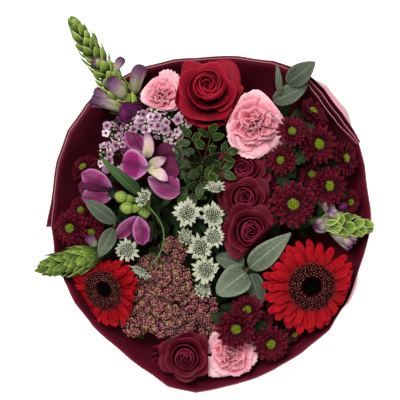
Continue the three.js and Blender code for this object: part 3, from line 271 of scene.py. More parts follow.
def bloom_head(node, spec, depth, half, crowded=False):
    """Plans a bloom's head from its place, lean and radius."""
    place, lean, radius = spec
    face = seen(place)
    tilt, towards = math.radians(lean[0]), math.radians(lean[1])
    axis = tilted_axis(tilt, towards)
    centre = face - axis * min(depth, half)
    base = face - axis * depth
    made = Head(node, centre, radius * FULL, half, base, turned_to(axis), depth, crowded)
    heads.append(made)
    return made


def leaf_head(node, spec):
    """Plans a leaf's head from its foot, tip and width."""
    base, tip, width = spec
    start, end = seen(base), seen(tip)
    radius = np.linalg.norm(end - start) / 2 + width / 4
    made = Head(node, (start + end) / 2, radius, 3 + abs(end[2] - start[2]) / 2)
    heads.append(made)
    return made


def leaf_heads(kind, twigs):
    return [[leaf_head(f"{kind}_{k + 1}", spec) for spec in specs] for k, specs in enumerate(twigs)]


def spike_heads(node, spec):
    """Plans three heads in a row along a snapdragon's spike."""
    root, tip, thick, _ = spec
    start, end = seen(root), seen(tip)
    made = [Head(node, mix(start, end, share), thick + 3, thick) for share in (0.15, 0.5, 0.85)]
    heads.extend(made)
    return made


def plane_between(own, other):
    """The plane where two heads press on each other, or None where they are apart."""
    reach = own.radius + other.radius
    height = own.half + other.half
    d = other.centre - own.centre
    if math.hypot(math.hypot(d[0], d[1]) / reach, d[2] / height) > 1:
        return None
    normal = unit(np.array([d[0] / reach**2, d[1] / reach**2, d[2] / height**2]))
    flat = math.hypot(normal[0], normal[1])
    mine = math.hypot(own.radius * flat, own.half * normal[2])
    theirs = math.hypot(other.radius * flat, other.half * normal[2])
    return normal, d @ normal * mine / (mine + theirs) - 0.5


def squeezed(distance, limit, free):
    """Distances beyond free are drawn together, so that none passes the limit."""
    room = limit - free
    drawn = free + room * (1 - np.exp(-np.maximum(distance - free, 0) / room))
    return np.where(distance <= free, distance, drawn)


corners = []
for x, y, z, bulge in RIM:
    corner = seen([x, y, z])[:2] - AXIS
    corners.append([math.atan2(corner[1], corner[0]) % TURN, np.hypot(*corner), float(z), bulge])
corners = np.array(sorted(corners))
CORNER_ANGLE, CORNER_RADIUS, CORNER_HEIGHT, CORNER_BULGE = corners.T


def open_radius(rim_radius, rim_height, z):
    """The paper's inside radius at a height, for a stretch that reaches rim_radius at rim_height."""
    down = np.maximum(TIE_HEIGHT - z, 0)
    below = PAPER_RADIUS + 0.7 * down * (0.35 + down / 110)
    t = np.maximum(z - TIE_HEIGHT, 0) / (rim_height - TIE_HEIGHT)
    return np.where(z <= TIE_HEIGHT, below, PAPER_RADIUS + (rim_radius - PAPER_RADIUS) * t * (1.4 - 0.4 * t))


def radius_under(k, z):
    """The paper's inside radius under a rim corner, or under each of some, at a height."""
    return open_radius(CORNER_RADIUS[k], CORNER_HEIGHT[k], np.minimum(z, CORNER_HEIGHT[k]))


def chord_between(a, b, share, gap):
    """The radius on the straight line between two radii a gap apart, at a share of the way."""
    return a * b * np.sin(gap) / (a * np.sin(share * gap) + b * np.sin((1 - share) * gap))


def wall_at(angle, z, over):
    """The paper's inside radius at an angle and a height, and the room that petals have above it."""
    angle = np.mod(angle, TURN)
    after = np.searchsorted(CORNER_ANGLE, angle, side="right") % len(corners)
    before = (after - 1) % len(corners)
    gap = np.mod(CORNER_ANGLE[after] - CORNER_ANGLE[before], TURN)
    share = np.mod(angle - CORNER_ANGLE[before], TURN) / gap
    height = np.minimum(z, mix(CORNER_HEIGHT[before], CORNER_HEIGHT[after], share))
    chord = chord_between(radius_under(before, height), radius_under(after, height), share, gap)
    return chord + np.maximum(z - height, 0) * over


def drawn_in(angle):
    """Where the rim is drawn in and the paper below it swells out, 1 in the middle of the stretch."""
    turn = np.mod(angle, TURN)
    return smooth(turn, 0.48, 0.7) * (1 - smooth(turn, 0.86, 1.08))


def swollen(angle):
    """Where the paper swells out under the rim at the lower right."""
    turn = np.mod(angle, TURN)
    return smooth(turn, 5.6, 5.8) * (1 - smooth(turn, 5.9, 6.04))


def inside_paper(points, over=FLARE):
    """Draws points in that would touch the paper."""
    plan = points[:, :2] - AXIS
    distance = np.hypot(*plan.T) + 1e-9
    angle = np.arctan2(plan[:, 1], plan[:, 0])
    tucked = TUCK_IN * drawn_in(angle) * smooth(points[:, 2], 295, 350)
    limit = wall_at(angle, points[:, 2], over) - WALL_GAP - tucked
    held = squeezed(distance, limit, limit - 14)
    points[:, :2] = AXIS + plan * (held / distance)[:, None]
    return points


def pressed(points, head):
    """Moves points clear of the head's neighbours and of the paper."""
    shape = points.shape
    points = points.reshape(-1, 3).copy()
    if isinstance(head, list):
        nearest = np.argmin([np.sum((points - part.centre) ** 2, axis=1) for part in head], axis=0)
        for k, part in enumerate(head):
            if (nearest == k).any():
                points[nearest == k] = pressed(points[nearest == k], part)
        return points.reshape(shape)
    for normal, limit in head.pressing():
        distance = (points - head.centre) @ normal
        points += normal * (squeezed(distance, limit, limit * FREE) - distance)[:, None]
    return inside_paper(points, over=head.over).reshape(shape)


# Modelling by hand


def deselect():
    """Goes back to object mode with nothing selected."""
    if bpy.context.mode != "OBJECT":
        bpy.ops.object.mode_set(mode="OBJECT")
    bpy.ops.object.select_all(action="DESELECT")


def edit(thing):
    """Opens one object for editing."""
    deselect()
    thing.select_set(True)
    bpy.context.view_layer.objects.active = thing
    bpy.ops.object.mode_set(mode="EDIT")


def opened():
    """Opens the shape that was just added for editing."""
    thing = bpy.context.active_object
    edit(thing)
    return thing


def finish_edit():
    """Turns all faces outwards and closes the editing."""
    bpy.ops.mesh.select_all(action="SELECT")
    bpy.ops.mesh.normals_make_consistent(inside=False)
    bpy.ops.object.mode_set(mode="OBJECT")
    return bpy.context.active_object


def pick_faces(thing, test):
    """Selects the faces whose middle and normal pass the test, in edit mode."""
    bpy.ops.mesh.select_all(action="DESELECT")
    bpy.ops.object.mode_set(mode="OBJECT")
    for face in thing.data.polygons:
        face.select = bool(test(face.center, face.normal))
    bpy.ops.object.mode_set(mode="EDIT")
    bpy.ops.mesh.select_mode(type="FACE")


def apply_modifiers(thing):
    deselect()
    thing.select_set(True)
    bpy.context.view_layer.objects.active = thing
    for modifier in list(thing.modifiers):
        bpy.ops.object.modifier_apply(modifier=modifier.name)


def subdivided(thing, kind):
    """Divides every face twice: CATMULL_CLARK rounds the shape, SIMPLE leaves it as it is."""
    modifier = thing.modifiers.new("finer faces", "SUBSURF")
    modifier.subdivision_type = kind
    modifier.levels = modifier.render_levels = 2
    apply_modifiers(thing)
    return thing


def read(items, key, width=1, kind=float):
    """One value of each item, or a row of them, as an array."""
    values = np.empty(len(items) * width, kind)
    items.foreach_get(key, values)
    return values.reshape(-1, width) if width > 1 else values


class Pattern:
    """A modelled shape, kept as arrays, from which the copies in a bloom are made."""

    def __init__(self, thing):
        mesh = thing.data
        self.points = read(mesh.vertices, "co", 3)
        self.corners = read(mesh.loops, "vertex_index", kind=np.int32)
        self.sizes = read(mesh.polygons, "loop_total", kind=np.int32)
        self.cut = read(mesh.polygons, "material_index", kind=np.int32)
        self.uv = np.zeros(len(mesh.loops) * 2)
        if mesh.uv_layers:
            mesh.uv_layers.active.data.foreach_get("uv", self.uv)
        bpy.data.objects.remove(thing)


def petal_blank(across, along):
    """A flat closed blank, cut as a grid and drawn up to two skins."""
    deselect()
    bpy.ops.mesh.primitive_grid_add(x_subdivisions=across, y_subdivisions=along, size=1, calc_uvs=True)
    opened()
    bpy.ops.mesh.select_all(action="SELECT")
    bpy.ops.mesh.extrude_region_move(TRANSFORM_OT_translate={"value": (0, 0, 1)})
    pattern = Pattern(finish_edit())
    pattern.across, pattern.along = across, along
    pattern.column = np.round((pattern.points[:, 0] + 0.5) * across).astype(int)
    pattern.row = np.round((pattern.points[:, 1] + 0.5) * along).astype(int)
    pattern.skin = np.where(pattern.points[:, 2] > 0.5, 0.5, -0.5)
    pattern.u, pattern.v = np.meshgrid(np.linspace(-1, 1, across + 1), np.linspace(0, 1, along + 1))
    return pattern


def skinned(blank, surface, thickness):
    """The blank laid over a surface of points, with the petal's thickness."""
    along = np.gradient(surface, axis=0)
    across = np.gradient(surface, axis=1)
    normal = np.cross(across, along)
    normal /= np.linalg.norm(normal, axis=2, keepdims=True) + 1e-12
    k = (blank.row, blank.column)
    return surface[k] + normal[k] * (blank.skin * thickness)[:, None]


class Piece:
    """The copies that are joined in one piece of the scene."""

    def __init__(self):
        self.parts = []
        self.count = 0

    def add(self, pattern, points, tint=0.5, finish=0):
        self.parts.append((pattern, points, tint, finish, self.count))
        self.count += len(points)

    def take(self, thing, finish=0):
        """Takes in a finished object, whose points are in metres in the model."""
        pattern = Pattern(thing)
        self.add(pattern, pattern.points * MM - SHIFT, finish=finish)

    def made(self, name, slot, finishes, nodes):
        mesh = bpy.data.meshes.new(name)
        points = (np.concatenate([p[1] for p in self.parts]) + SHIFT) / MM
        corners = np.concatenate([p[0].corners + p[4] for p in self.parts])
        sizes = np.concatenate([p[0].sizes for p in self.parts])
        starts = np.concatenate([[0], np.cumsum(sizes)[:-1]])
        slots = np.concatenate([np.where(p[0].cut > 0, len(finishes), p[3]) for p in self.parts])
        mesh.vertices.add(len(points))
        mesh.vertices.foreach_set("co", points.astype(np.float32).ravel())
        mesh.loops.add(len(corners))
        mesh.loops.foreach_set("vertex_index", corners.astype(np.int32))
        mesh.polygons.add(len(sizes))
        for key, values in (("loop_start", starts), ("loop_total", sizes), ("material_index", slots)):
            mesh.polygons.foreach_set(key, values.astype(np.int32))
        mesh.update(calc_edges=True)
        layer = mesh.uv_layers.new(name="petal")
        layer.data.foreach_set("uv", np.concatenate([p[0].uv for p in self.parts]).astype(np.float32))
        tints = np.concatenate([np.full(len(p[1]), p[2]) for p in self.parts])
        layer = mesh.attributes.new("tint", "FLOAT", "POINT")
        layer.data.foreach_set("value", tints.astype(np.float32))
        mesh.shade_smooth()
        for key in [*finishes] + ["pith"] * any(p[0].cut.any() for p in self.parts):
            mesh.materials.append(FINISHES[key])
        thing = bpy.data.objects.new(name, mesh)
        bpy.context.scene.collection.objects.link(thing)
        return settled(thing, nodes)


def settled(thing, nodes):
    """Hangs a piece on the body that it rides on, and hides the nodes that it replaces."""
    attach(thing, "root")
    if nodes:
        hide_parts(*nodes)
    return thing


# Finishes


def colour(code):
    """An sRGB hex colour as Blender's linear one."""
    parts = [int(code[k : k + 2], 16) / 255 for k in (1, 3, 5)]
    return [c / 12.92 if c <= 0.04045 else ((c + 0.055) / 1.055) ** 2.4 for c in parts] + [1.0]


def add_node(tree, kind, inputs=None, stops=(), **settings):
    """Adds a node, sets it, fills its inputs with values or links, and a ramp with its stops."""
    made = tree.nodes.new("ShaderNode" + kind)
    for name, value in settings.items():
        setattr(made, name, value)
    for name, value in (inputs or {}).items():
        source = value.outputs[0] if isinstance(value, bpy.types.Node) else value
        if isinstance(source, bpy.types.NodeSocket):
            tree.links.new(source, made.inputs[name])
        else:
            made.inputs[name].default_value = source
    for _ in stops[2:]:
        made.color_ramp.elements.new(0.5)
    for k, (place, code) in enumerate(stops):
        made.color_ramp.elements[k].position = place
        made.color_ramp.elements[k].color = colour(code)
    return made


def finish(name):
    """A new material and its empty node tree."""
    material = bpy.data.materials.new(name)
    material.use_nodes = True
    tree = material.node_tree
    tree.nodes.clear()
    return material, tree


def scale_of(size):
    """The scale of a pattern whose marks are this many millimetres wide, laid in metres."""
    return round(MM / size)


def petal_finish(
    name, stops, veins, mottle, depth, rough=0.6, shine=0.12, spread=0.3, glow=0.0,
    other=None, edge=None, rib=None, rib_width=0.14, cells=0.4545, patch=0.1,
):
    """Living petal tissue: a blade of swollen cells, which gives a soft satin with fine raised
    veins along it. stops run from the petal's foot to its edge; edge and rib colour its sides
    and its middle line, other the petals with the highest tint. Real cells are some 0.03 mm
    wide, too fine to show, so cells draws them ten times as coarse and more."""
    material, tree = finish(name)
    place = add_node(tree, "TexCoord")
    split = add_node(tree, "SeparateXYZ", {0: place.outputs["UV"]})
    spots = {"Vector": place.outputs["Object"], "Scale": scale_of(BLOTCH), "Detail": 3.0}
    blotch = add_node(tree, "TexNoise", spots)
    shifted = add_node(tree, "Math", {0: blotch, 1: 0.16, 2: split.outputs[1]}, operation="MULTIPLY_ADD")
    run = add_node(tree, "Math", {0: shifted, 1: 0.08}, operation="SUBTRACT")
    body = add_node(tree, "ValToRGB", {0: run}, stops)
    tint = add_node(tree, "Attribute", attribute_name="tint").outputs["Fac"]
    centred = add_node(tree, "Math", {0: split, 1: 2.0, 2: -1.0}, operation="MULTIPLY_ADD")
    aside = add_node(tree, "Math", {0: centred}, operation="ABSOLUTE")
    zones = [(other, tint, 0.6, 0.9), (rib, aside, rib_width, 0.0), (edge, aside, 0.72, 0.98)]
    for code, source, low, high in zones:
        if code:
            share = add_node(tree, "MapRange", {0: source, 1: low, 2: high, 3: 0.0, 4: 0.85})
            blend = {"Factor": share, 6: body, 7: colour(code)}
            body = add_node(tree, "Mix", blend, data_type="RGBA").outputs[2]
    across = add_node(tree, "Math", {0: split, 1: veins * 6.283}, operation="MULTIPLY")
    wander = add_node(tree, "Math", {0: blotch, 1: 5.0, 2: across}, operation="MULTIPLY_ADD")
    line = add_node(tree, "Math", {0: wander}, operation="SINE")
    vein = add_node(tree, "MapRange", {0: line, 1: 0.2, 2: 1.0, 3: 0.0, 4: 1.0})
    lightness = add_node(tree, "MapRange", {0: tint, 1: 0.0, 2: 1.0, 3: 1.0 - spread, 4: 1.0 + spread})
    toned = add_node(tree, "HueSaturation", {"Value": lightness, "Color": body})
    shade = add_node(tree, "MapRange", {0: vein, 3: 1.0, 4: 1.0 - mottle})
    pores = {"Vector": place.outputs["Object"], "Scale": scale_of(cells), "Detail": 2.0}
    skin = add_node(tree, "TexNoise", pores)
    grain = add_node(tree, "MapRange", {0: skin, 1: 0.3, 2: 0.7, 3: 1.0 - patch, 4: 1.0 + patch})
    both = add_node(tree, "Math", {0: shade, 1: grain}, operation="MULTIPLY")
    layers = {"Factor": 1.0, 6: toned, 7: both}
    dyed = add_node(tree, "Mix", layers, data_type="RGBA", blend_type="MULTIPLY")
    relief = add_node(tree, "Math", {0: vein, 1: -0.6, 2: skin}, operation="MULTIPLY_ADD")
    bump = add_node(tree, "Bump", {"Strength": depth, "Distance": 0.0004, "Height": relief})
    gloss = add_node(tree, "MapRange", {0: blotch, 3: rough - 0.08, 4: rough + 0.12})
    look = {"Base Color": dyed.outputs[2], "Roughness": gloss, "Specular IOR Level": shine, "Normal": bump}
    look.update({"Subsurface Weight": glow, "Subsurface Radius": (1.0, 0.45, 0.4), "Subsurface Scale": 0.003})
    shader = add_node(tree, "BsdfPrincipled", look)
    add_node(tree, "OutputMaterial", {0: shader})
    return material


def plain_finish(
    name, low, high, size, rough, depth, sheen=0.0, stretch=(1, 1, 1), spread=0.25, shine=0.35
):
    """Grown or spun stuff without a blade of its own: two tones blended by a grain of this size."""
    material, tree = finish(name)
    place = add_node(tree, "TexCoord")
    drawn = add_node(tree, "Mapping", {0: place.outputs["Object"], "Scale": stretch})
    grain = add_node(tree, "TexNoise", {"Vector": drawn, "Scale": scale_of(size), "Detail": 4.0})
    body = add_node(tree, "ValToRGB", {0: grain}, [(0.35, low), (0.65, high)])
    tint = add_node(tree, "Attribute", attribute_name="tint").outputs["Fac"]
    lightness = add_node(tree, "MapRange", {0: tint, 1: 0.0, 2: 1.0, 3: 1.0 - spread, 4: 1.0 + spread})
    toned = add_node(tree, "HueSaturation", {"Value": lightness, "Color": body})
    bump = add_node(tree, "Bump", {"Strength": depth, "Distance": 0.0004, "Height": grain})
    gloss = add_node(tree, "MapRange", {0: grain, 3: rough - 0.1, 4: rough + 0.1})
    look = {"Base Color": toned, "Roughness": gloss, "Sheen Weight": sheen, "Normal": bump}
    shader = add_node(tree, "BsdfPrincipled", {**look, "Specular IOR Level": shine})
    add_node(tree, "OutputMaterial", {0: shader})
    return material


def paper_finish(name, low, high, sheen):
    """Stiff florist's paper, dyed in the pulp and pressed smooth between rollers: soft broad
    highlights, faint clouds 38 mm wide where the pulp lay thicker, and fibres. Real fibres are
    some 0.03 mm wide, too fine to show, so they are drawn 0.77 mm wide."""
    material, tree = finish(name)
    place = add_node(tree, "TexCoord").outputs["Object"]
    cloud = add_node(tree, "TexNoise", {"Vector": place, "Scale": scale_of(38.5), "Detail": 3.0})
    fibre = add_node(tree, "TexNoise", {"Vector": place, "Scale": scale_of(0.769), "Detail": 4.0})
    both = add_node(tree, "Math", {0: fibre, 1: 0.5, 2: cloud}, operation="MULTIPLY_ADD")
    body = add_node(tree, "ValToRGB", {0: both}, [(0.5, low), (0.95, high)])
    bump = add_node(tree, "Bump", {"Strength": 0.15, "Distance": 0.0005, "Height": both})
    gloss = add_node(tree, "MapRange", {0: cloud, 3: 0.36, 4: 0.5})
    look = {"Base Color": body, "Roughness": gloss, "Sheen Weight": sheen, "Normal": bump}
    shader = add_node(tree, "BsdfPrincipled", {**look, "Specular IOR Level": 0.22})
    add_node(tree, "OutputMaterial", {0: shader})
    return material


FINISHES = {
    # Rose petal, grown with pointed cells that trap light: velvet. Deep red that runs to nearly black at the
    # foot, painted shade for the depths of the bloom.
    "red_rose": petal_finish(
        "red rose petal", [(0.0, "#24040A"), (0.45, "#6C091A"), (0.8, "#960E28"), (1.0, "#A8182E")],
        7, 0.05, 0.12, spread=0.45,
    ),
    # The same velvet on a dark rose: nearly black at the foot, painted shade for the depths of the bloom, and
    # paler towards the rim.
    "dark_rose": petal_finish(
        "dark rose petal", [(0.0, "#0A0204"), (0.45, "#3C0610"), (0.82, "#5C0B1D"), (1.0, "#842039")],
        7, 0.08, 0.15, spread=0.5,
    ),
    # Carnation petal, thin and without wax: light shines through it, and its cut edge is pale.
    "carnation": petal_finish(
        "carnation petal", [(0.0, "#A83450"), (0.4, "#D85672"), (0.8, "#E67A8E"), (1.0, "#F0A6B2")],
        5, 0.06, 0.15, glow=0.35, other="#F0B8BC",
    ),
    # Gerbera ray, a strap grown with a groove and a few long veins: matt, with a dark middle line.
    "gerbera": petal_finish(
        "gerbera ray", [(0.0, "#3A0208"), (0.3, "#7E0510"), (0.8, "#9E0614"), (1.0, "#B01020")],
        4, 0.25, 0.5, shine=0.08, rib="#7E060E",
    ),
    # The short rays by the disc, not yet filled out: almost black where they leave it.
    "gerbera_inner": petal_finish(
        "short inner gerbera ray", [(0.0, "#080102"), (0.5, "#1E0408"), (0.8, "#5A0A14"), (1.0, "#7A1220")],
        2, 0.2, 0.3, shine=0.06,
    ),
    # The disc's tubular florets, dark with dusty pink lips: a velvet of fine points.
    "gerbera_floret": petal_finish(
        "gerbera disc floret", [(0.0, "#0C0203"), (0.5, "#2C060C"), (0.85, "#5C1018"), (1.0, "#C88874")],
        1, 0.1, 0.2, shine=0.06, spread=0.6,
    ),
    # Santini ray, a small folded strap: matt wine red, painted nearly black at the foot as shade between the
    # rays.
    "chrysanthemum": petal_finish(
        "chrysanthemum ray", [(0.0, "#0C0106"), (0.4, "#26030E"), (0.8, "#480816"), (1.0, "#6A1226")],
        3, 0.2, 0.4, shine=0.05, spread=0.6, edge="#62182C",
    ),
    # The santini's green button, florets still shut: matt and finely bumpy.
    "button": plain_finish("chrysanthemum button", "#44560E", "#8A9A1E", 1.111, 0.6, 0.4, shine=0.1),
    # Astrantia bract, papery and dry to the touch, with green veins in a whitish blade.
    "bract": petal_finish(
        "astrantia bract", [(0.0, "#5E6C42"), (0.4, "#A0A484"), (0.8, "#C0C0A8"), (1.0, "#8E9A6A")],
        3, 0.42, 0.4, edge="#D4D4C4",
    ),
    # The pincushion's stalks, thin green threads in their own shade.
    "cushion_stalk": plain_finish("astrantia stalk", "#2A3820", "#46543A", 2.0, 0.6, 0.3),
    # The pincushion's florets, chalky white dots that stand out from the green.
    "cushion_floret": plain_finish("astrantia floret", "#BCC0A4", "#DEDECC", 0.769, 0.6, 0.3, spread=0.5),
    # Sedum star, fleshy and waxed: dusty pink, and some stars still green.
    "sedum": petal_finish(
        "sedum star", [(0.0, "#5E282E"), (0.4, "#9C4C56"), (0.8, "#B66A72"), (1.0, "#D49C9C")],
        1, 0.1, 0.2, spread=0.65, other="#8E7E4C",
    ),
    # The sedum's side stalks, green that has reddened in the sun.
    "sedum_stalk": plain_finish("sedum stalk", "#3E3A20", "#5E3A2C", 3.33, 0.6, 0.3),
    # Waxflower petal, coated in its own wax: small soft highlights on lilac.
    "waxflower": petal_finish(
        "waxflower petal", [(0.0, "#561C32"), (0.22, "#9A6C84"), (0.7, "#AE86A0"), (1.0, "#C6A8BA")],
        3, 0.1, 0.2, rough=0.4, shine=0.3, other="#DECAD2",
    ),
    # The waxflower's cup, wet with nectar: dark red and glossy.
    "wax_heart": plain_finish("waxflower cup", "#3E0E18", "#7A2A34", 2.0, 0.3, 0.2),
    # Waxflower bud, one drop of wax: smooth, half lilac and half cream over its whole length.
    "wax_bud": plain_finish("waxflower bud", "#B090A4", "#DCD0AC", 11.1, 0.35, 0.2),
    # Snapdragon sepal, a thin green scale with a light rim, slightly oily.
    "snap_bud": petal_finish(
        "snapdragon sepal", [(0.0, "#1E300C"), (0.4, "#42581A"), (0.8, "#5E7628"), (1.0, "#8A9A48")],
        3, 0.15, 0.3, shine=0.2, spread=0.35, edge="#8A9C52",
    ),
    # Snapdragon bract, the same scale further open to the light and therefore yellower.
    "snap_bract": petal_finish(
        "snapdragon bract", [(0.0, "#2C4212"), (0.4, "#566E20"), (0.8, "#7E9438"), (1.0, "#A0AC5A")],
        3, 0.15, 0.3, shine=0.2, edge="#B0BC7A",
    ),
    # Snapdragon petal in bud, green at its foot where it grew last and mauve at its tip.
    "snap_petal": petal_finish(
        "snapdragon petal",
        [(0.0, "#7C8454"), (0.28, "#A09680"), (0.5, "#8A6A7E"), (0.72, "#68405E"), (1.0, "#4E2A48")],
        4, 0.15, 0.25, other="#8A7A8C",
    ),
    # The flower's lip, fully coloured and downy: matt mauve.
    "snap_lip": petal_finish(
        "snapdragon lip", [(0.0, "#907C86"), (0.3, "#745068"), (0.7, "#5E3A5A"), (1.0, "#4A2A44")],
        4, 0.15, 0.25,
    ),
    # An older flower of the spike, darkened to plum.
    "snap_dark": petal_finish(
        "dark snapdragon petal", [(0.0, "#2A0A22"), (0.5, "#521440"), (1.0, "#6E2A5C")], 4, 0.2, 0.25
    ),
    # Alstroemeria tepal, firm and smooth: a faint gloss, a pale rim and a broad dark band.
    "alstroemeria": petal_finish(
        "alstroemeria tepal",
        [(0.0, "#C8A8B8"), (0.16, "#A85C92"), (0.45, "#801A58"), (0.8, "#862060"), (1.0, "#9E4880")],
        8, 0.15, 0.3, rough=0.45, shine=0.2, glow=0.2, rib="#4E0E34", rib_width=0.6, edge="#BC88A8",
    ),
    # The shaded tepals behind, without the pale rim.
    "alstroemeria_dark": petal_finish(
        "dark alstroemeria tepal", [(0.0, "#240816"), (0.5, "#480C2E"), (1.0, "#5E1A40")],
        8, 0.3, 0.35, shine=0.12,
    ),
    # The narrow inner tepal, cream with dark lines that lead to the nectar.
    "alstroemeria_inner": petal_finish(
        "alstroemeria inner tepal", [(0.0, "#8E9A60"), (0.35, "#D0BC9C"), (0.7, "#D8B8B8"), (1.0, "#9A4486")],
        6, 0.45, 0.3, edge="#B87AA4",
    ),
    # Alstroemeria bud, tepals folded over each other: waxy green with darker seams.
    "bud": petal_finish(
        "alstroemeria bud", [(0.0, "#4A6A24"), (0.5, "#86A040"), (0.9, "#9AAC54"), (1.0, "#6A7A34")],
        2, 0.4, 0.5, shine=0.3, edge="#5E7A2C",
    ),
    # Eucalyptus leaf, leathery under a rubbed bloom of wax: matt grey-green in patches, light rib.
    "eucalyptus": petal_finish(
        "eucalyptus leaf", [(0.0, "#42493A"), (0.5, "#4E5646"), (1.0, "#5C6454")],
        4, 0.12, 0.3, rough=0.65, spread=0.42, rib="#7C8672", rib_width=0.08, edge="#727A66",
        cells=1.613, patch=0.3,
    ),
    # The small evergreen leaves, with a hard shiny skin: dark, with lighter rims.
    "leaf": petal_finish(
        "glossy leaf", [(0.0, "#0C1606"), (0.5, "#1A2A0A"), (1.0, "#283C10")],
        5, 0.15, 0.4, rough=0.35, shine=0.2, spread=0.5, edge="#5C7230", rib="#3A4E1A",
    ),
    # Leaves on the flowers' own stems, soft and shaded: matt dark green.
    "deep_leaf": petal_finish(
        "stem leaf", [(0.0, "#0C140A"), (0.5, "#182610"), (1.0, "#24361A")], 6, 0.2, 0.5, rib="#34482A"
    ),
    # The alstroemeria's long leaf, ribbed all along like a blade of grass.
    "long_leaf": petal_finish(
        "strap leaf", [(0.0, "#24341A"), (0.5, "#304824"), (1.0, "#3E5A2C")],
        12, 0.1, 0.4, shine=0.25, rib="#4A6436",
    ),
    # Green stem, smooth and full of sap, with ridges that run up it.
    "stem": plain_finish("green stem", "#344E1E", "#526E30", 4.0, 0.5, 0.3, stretch=(1, 1, 0.15)),
    # Where the knife went through a stem: pale damp pith, with its tubes as a fine grain.
    "pith": plain_finish("cut stem end", "#6A7440", "#9AA06A", 0.625, 0.75, 0.3, shine=0.2),
    # Young bark of a twig, brown over green.
    "twig": plain_finish("reddish twig", "#4A2E1A", "#66502A", 4.0, 0.5, 0.3),
    # The gerbera's heart, black florets not yet open, that swallow the light.
    "disc": plain_finish("gerbera disc heart", "#030102", "#0C0306", 1.111, 0.8, 0.4, shine=0.03),
    # Jute twine, spun from dry fibres: matt and hairy. Real fibres are finer than this grain shows.
    "twine": plain_finish("jute twine", "#8A6A3E", "#B8945E", 0.6667, 0.85, 0.8, sheen=0.3),
    # Woven satin, its threads floated across the band: a clear sheen, and threads drawn coarser
    # than the real ones of 0.1 mm so that they show.
    "satin": plain_finish(
        "satin ribbon", "#5E0E22", "#7A1A30", 0.3846, 0.3, 0.15, stretch=(0.05, 0.05, 1), shine=0.6
    ),
    # The paper's inner side, dyed burgundy.
    "paper_inside": paper_finish("burgundy paper", "#4C0C1E", "#661428", 0.0),
    # Its outer side, a thin pink layer with a faint bloom of its own.
    "paper_outside": paper_finish("pink paper", "#CE8C98", "#D89CA8", 0.1),
    # Its cut edge, where both dyes meet.
    "paper_edge": paper_finish("cut paper edge", "#A06874", "#BC8690", 0.0),
}

# Planning the heads

ROSES = {"red_rose": bloom_head("red_rose_bloom", RED_ROSE, 37 * 1.25, 37 * 1.25 * 0.55)}
for k, spec in enumerate(DARK_ROSES):
    depth = spec[2] * 1.25
    ROSES[f"dark_rose_{k + 1}"] = bloom_head(f"dark_rose_{k + 1}_bloom", spec, depth, depth * 0.55)
CARNATION_HEADS = []
for k, spec in enumerate(CARNATIONS):
    depth = spec[2] * 0.85
    CARNATION_HEADS.append(bloom_head(f"carnation_{k + 1}_bloom", spec, depth, depth * 0.6))
GERBERA_HEADS = [bloom_head(f"gerbera_{k + 1}_rays", spec, 9, 7) for k, spec in enumerate(GERBERAS)]
GERBERA_HEADS[0].over = 0.1
SPRAY_HEADS = {}
for k, specs in enumerate(CHRYSANTHEMUMS):
    node = f"chrysanthemum_spray_{k + 1}"
    SPRAY_HEADS[node] = [bloom_head(node, spec, 3, 6) for spec in specs]
for k, specs in enumerate(ASTRANTIAS):
    node = f"astrantia_{k + 1}"
    SPRAY_HEADS[node] = [bloom_head(node, spec, 3, 5) for spec in specs]
SPRAY_HEADS["sedum"] = [bloom_head("sedum", (place, [0, 0], radius), 15, 9, True) for place, radius in SEDUM]
for k, places in enumerate(WAXFLOWERS):
    node = f"waxflower_{k + 1}"
    specs = [(place, [20 + 5 * (j % 3), 60 * j], 7.5) for j, place in enumerate(places)]
    SPRAY_HEADS[node] = [bloom_head(node, spec, 2, 3) for spec in specs]
SPIKES, SNAP_BLOOMS = [], []
for k, spec in enumerate(SNAPDRAGONS):
    node = f"snapdragon_{k + 1}"
    SPIKES.append(spike_heads(node, spec))
    blooms = []
    for j, (x, y) in enumerate(spec[3]):
        blooms.append(Head(node, seen([x, y, spec[0][2] + 4 + 2 * j]), 10, 7))
    heads.extend(blooms)
    SNAP_BLOOMS.append(blooms)
EUCALYPTUS_LEAVES = leaf_heads("eucalyptus", EUCALYPTUS)
SPRIG_LEAVES = leaf_heads("leafy_twig", SPRIGS)
ALSTROEMERIA_HEADS = {}
for name, spec in ALSTROEMERIAS.items():
    ALSTROEMERIA_HEADS[name] = bloom_head(f"alstroemeria_{name}_bloom", spec, spec[2] * 0.5, spec[2] * 0.4)
BUD_HEADS = [bloom_head("alstroemeria_stem", (place, [0, 0], 7), 16, 8) for place in ALSTROEMERIA_BUDS]
LONG_LEAF = leaf_head("alstroemeria_stem", ALSTROEMERIA_LEAF)

# Shapes modelled once


def knob_pattern():
    """A small rounded floret, tapered to its foot."""
    deselect()
    bpy.ops.mesh.primitive_ico_sphere_add(subdivisions=1, radius=1.0)
    thing = opened()
    pick_faces(thing, lambda middle, normal: normal.z < -0.6)
    bpy.ops.transform.translate(value=(0, 0, -0.9))
    bpy.ops.transform.resize(value=(0.5, 0.5, 1))
    return Pattern(finish_edit())


def pin_pattern():
    """A fine stalk with a swollen tip, for a stamen or a floret of a pincushion."""
    deselect()
    bpy.ops.mesh.primitive_cylinder_add(vertices=5, radius=0.12, depth=1, location=(0, 0, 0.5))
    thing = opened()
    pick_faces(thing, lambda middle, normal: normal.z > 0.9)
    bpy.ops.mesh.extrude_region_move(TRANSFORM_OT_translate={"value": (0, 0, 0.08)})
    bpy.ops.transform.resize(value=(2.6, 2.6, 1))
    bpy.ops.mesh.extrude_region_move(TRANSFORM_OT_translate={"value": (0, 0, 0.16)})
    bpy.ops.mesh.extrude_region_move(TRANSFORM_OT_translate={"value": (0, 0, 0.1)})
    bpy.ops.transform.resize(value=(0.45, 0.45, 1))
    return Pattern(finish_edit())


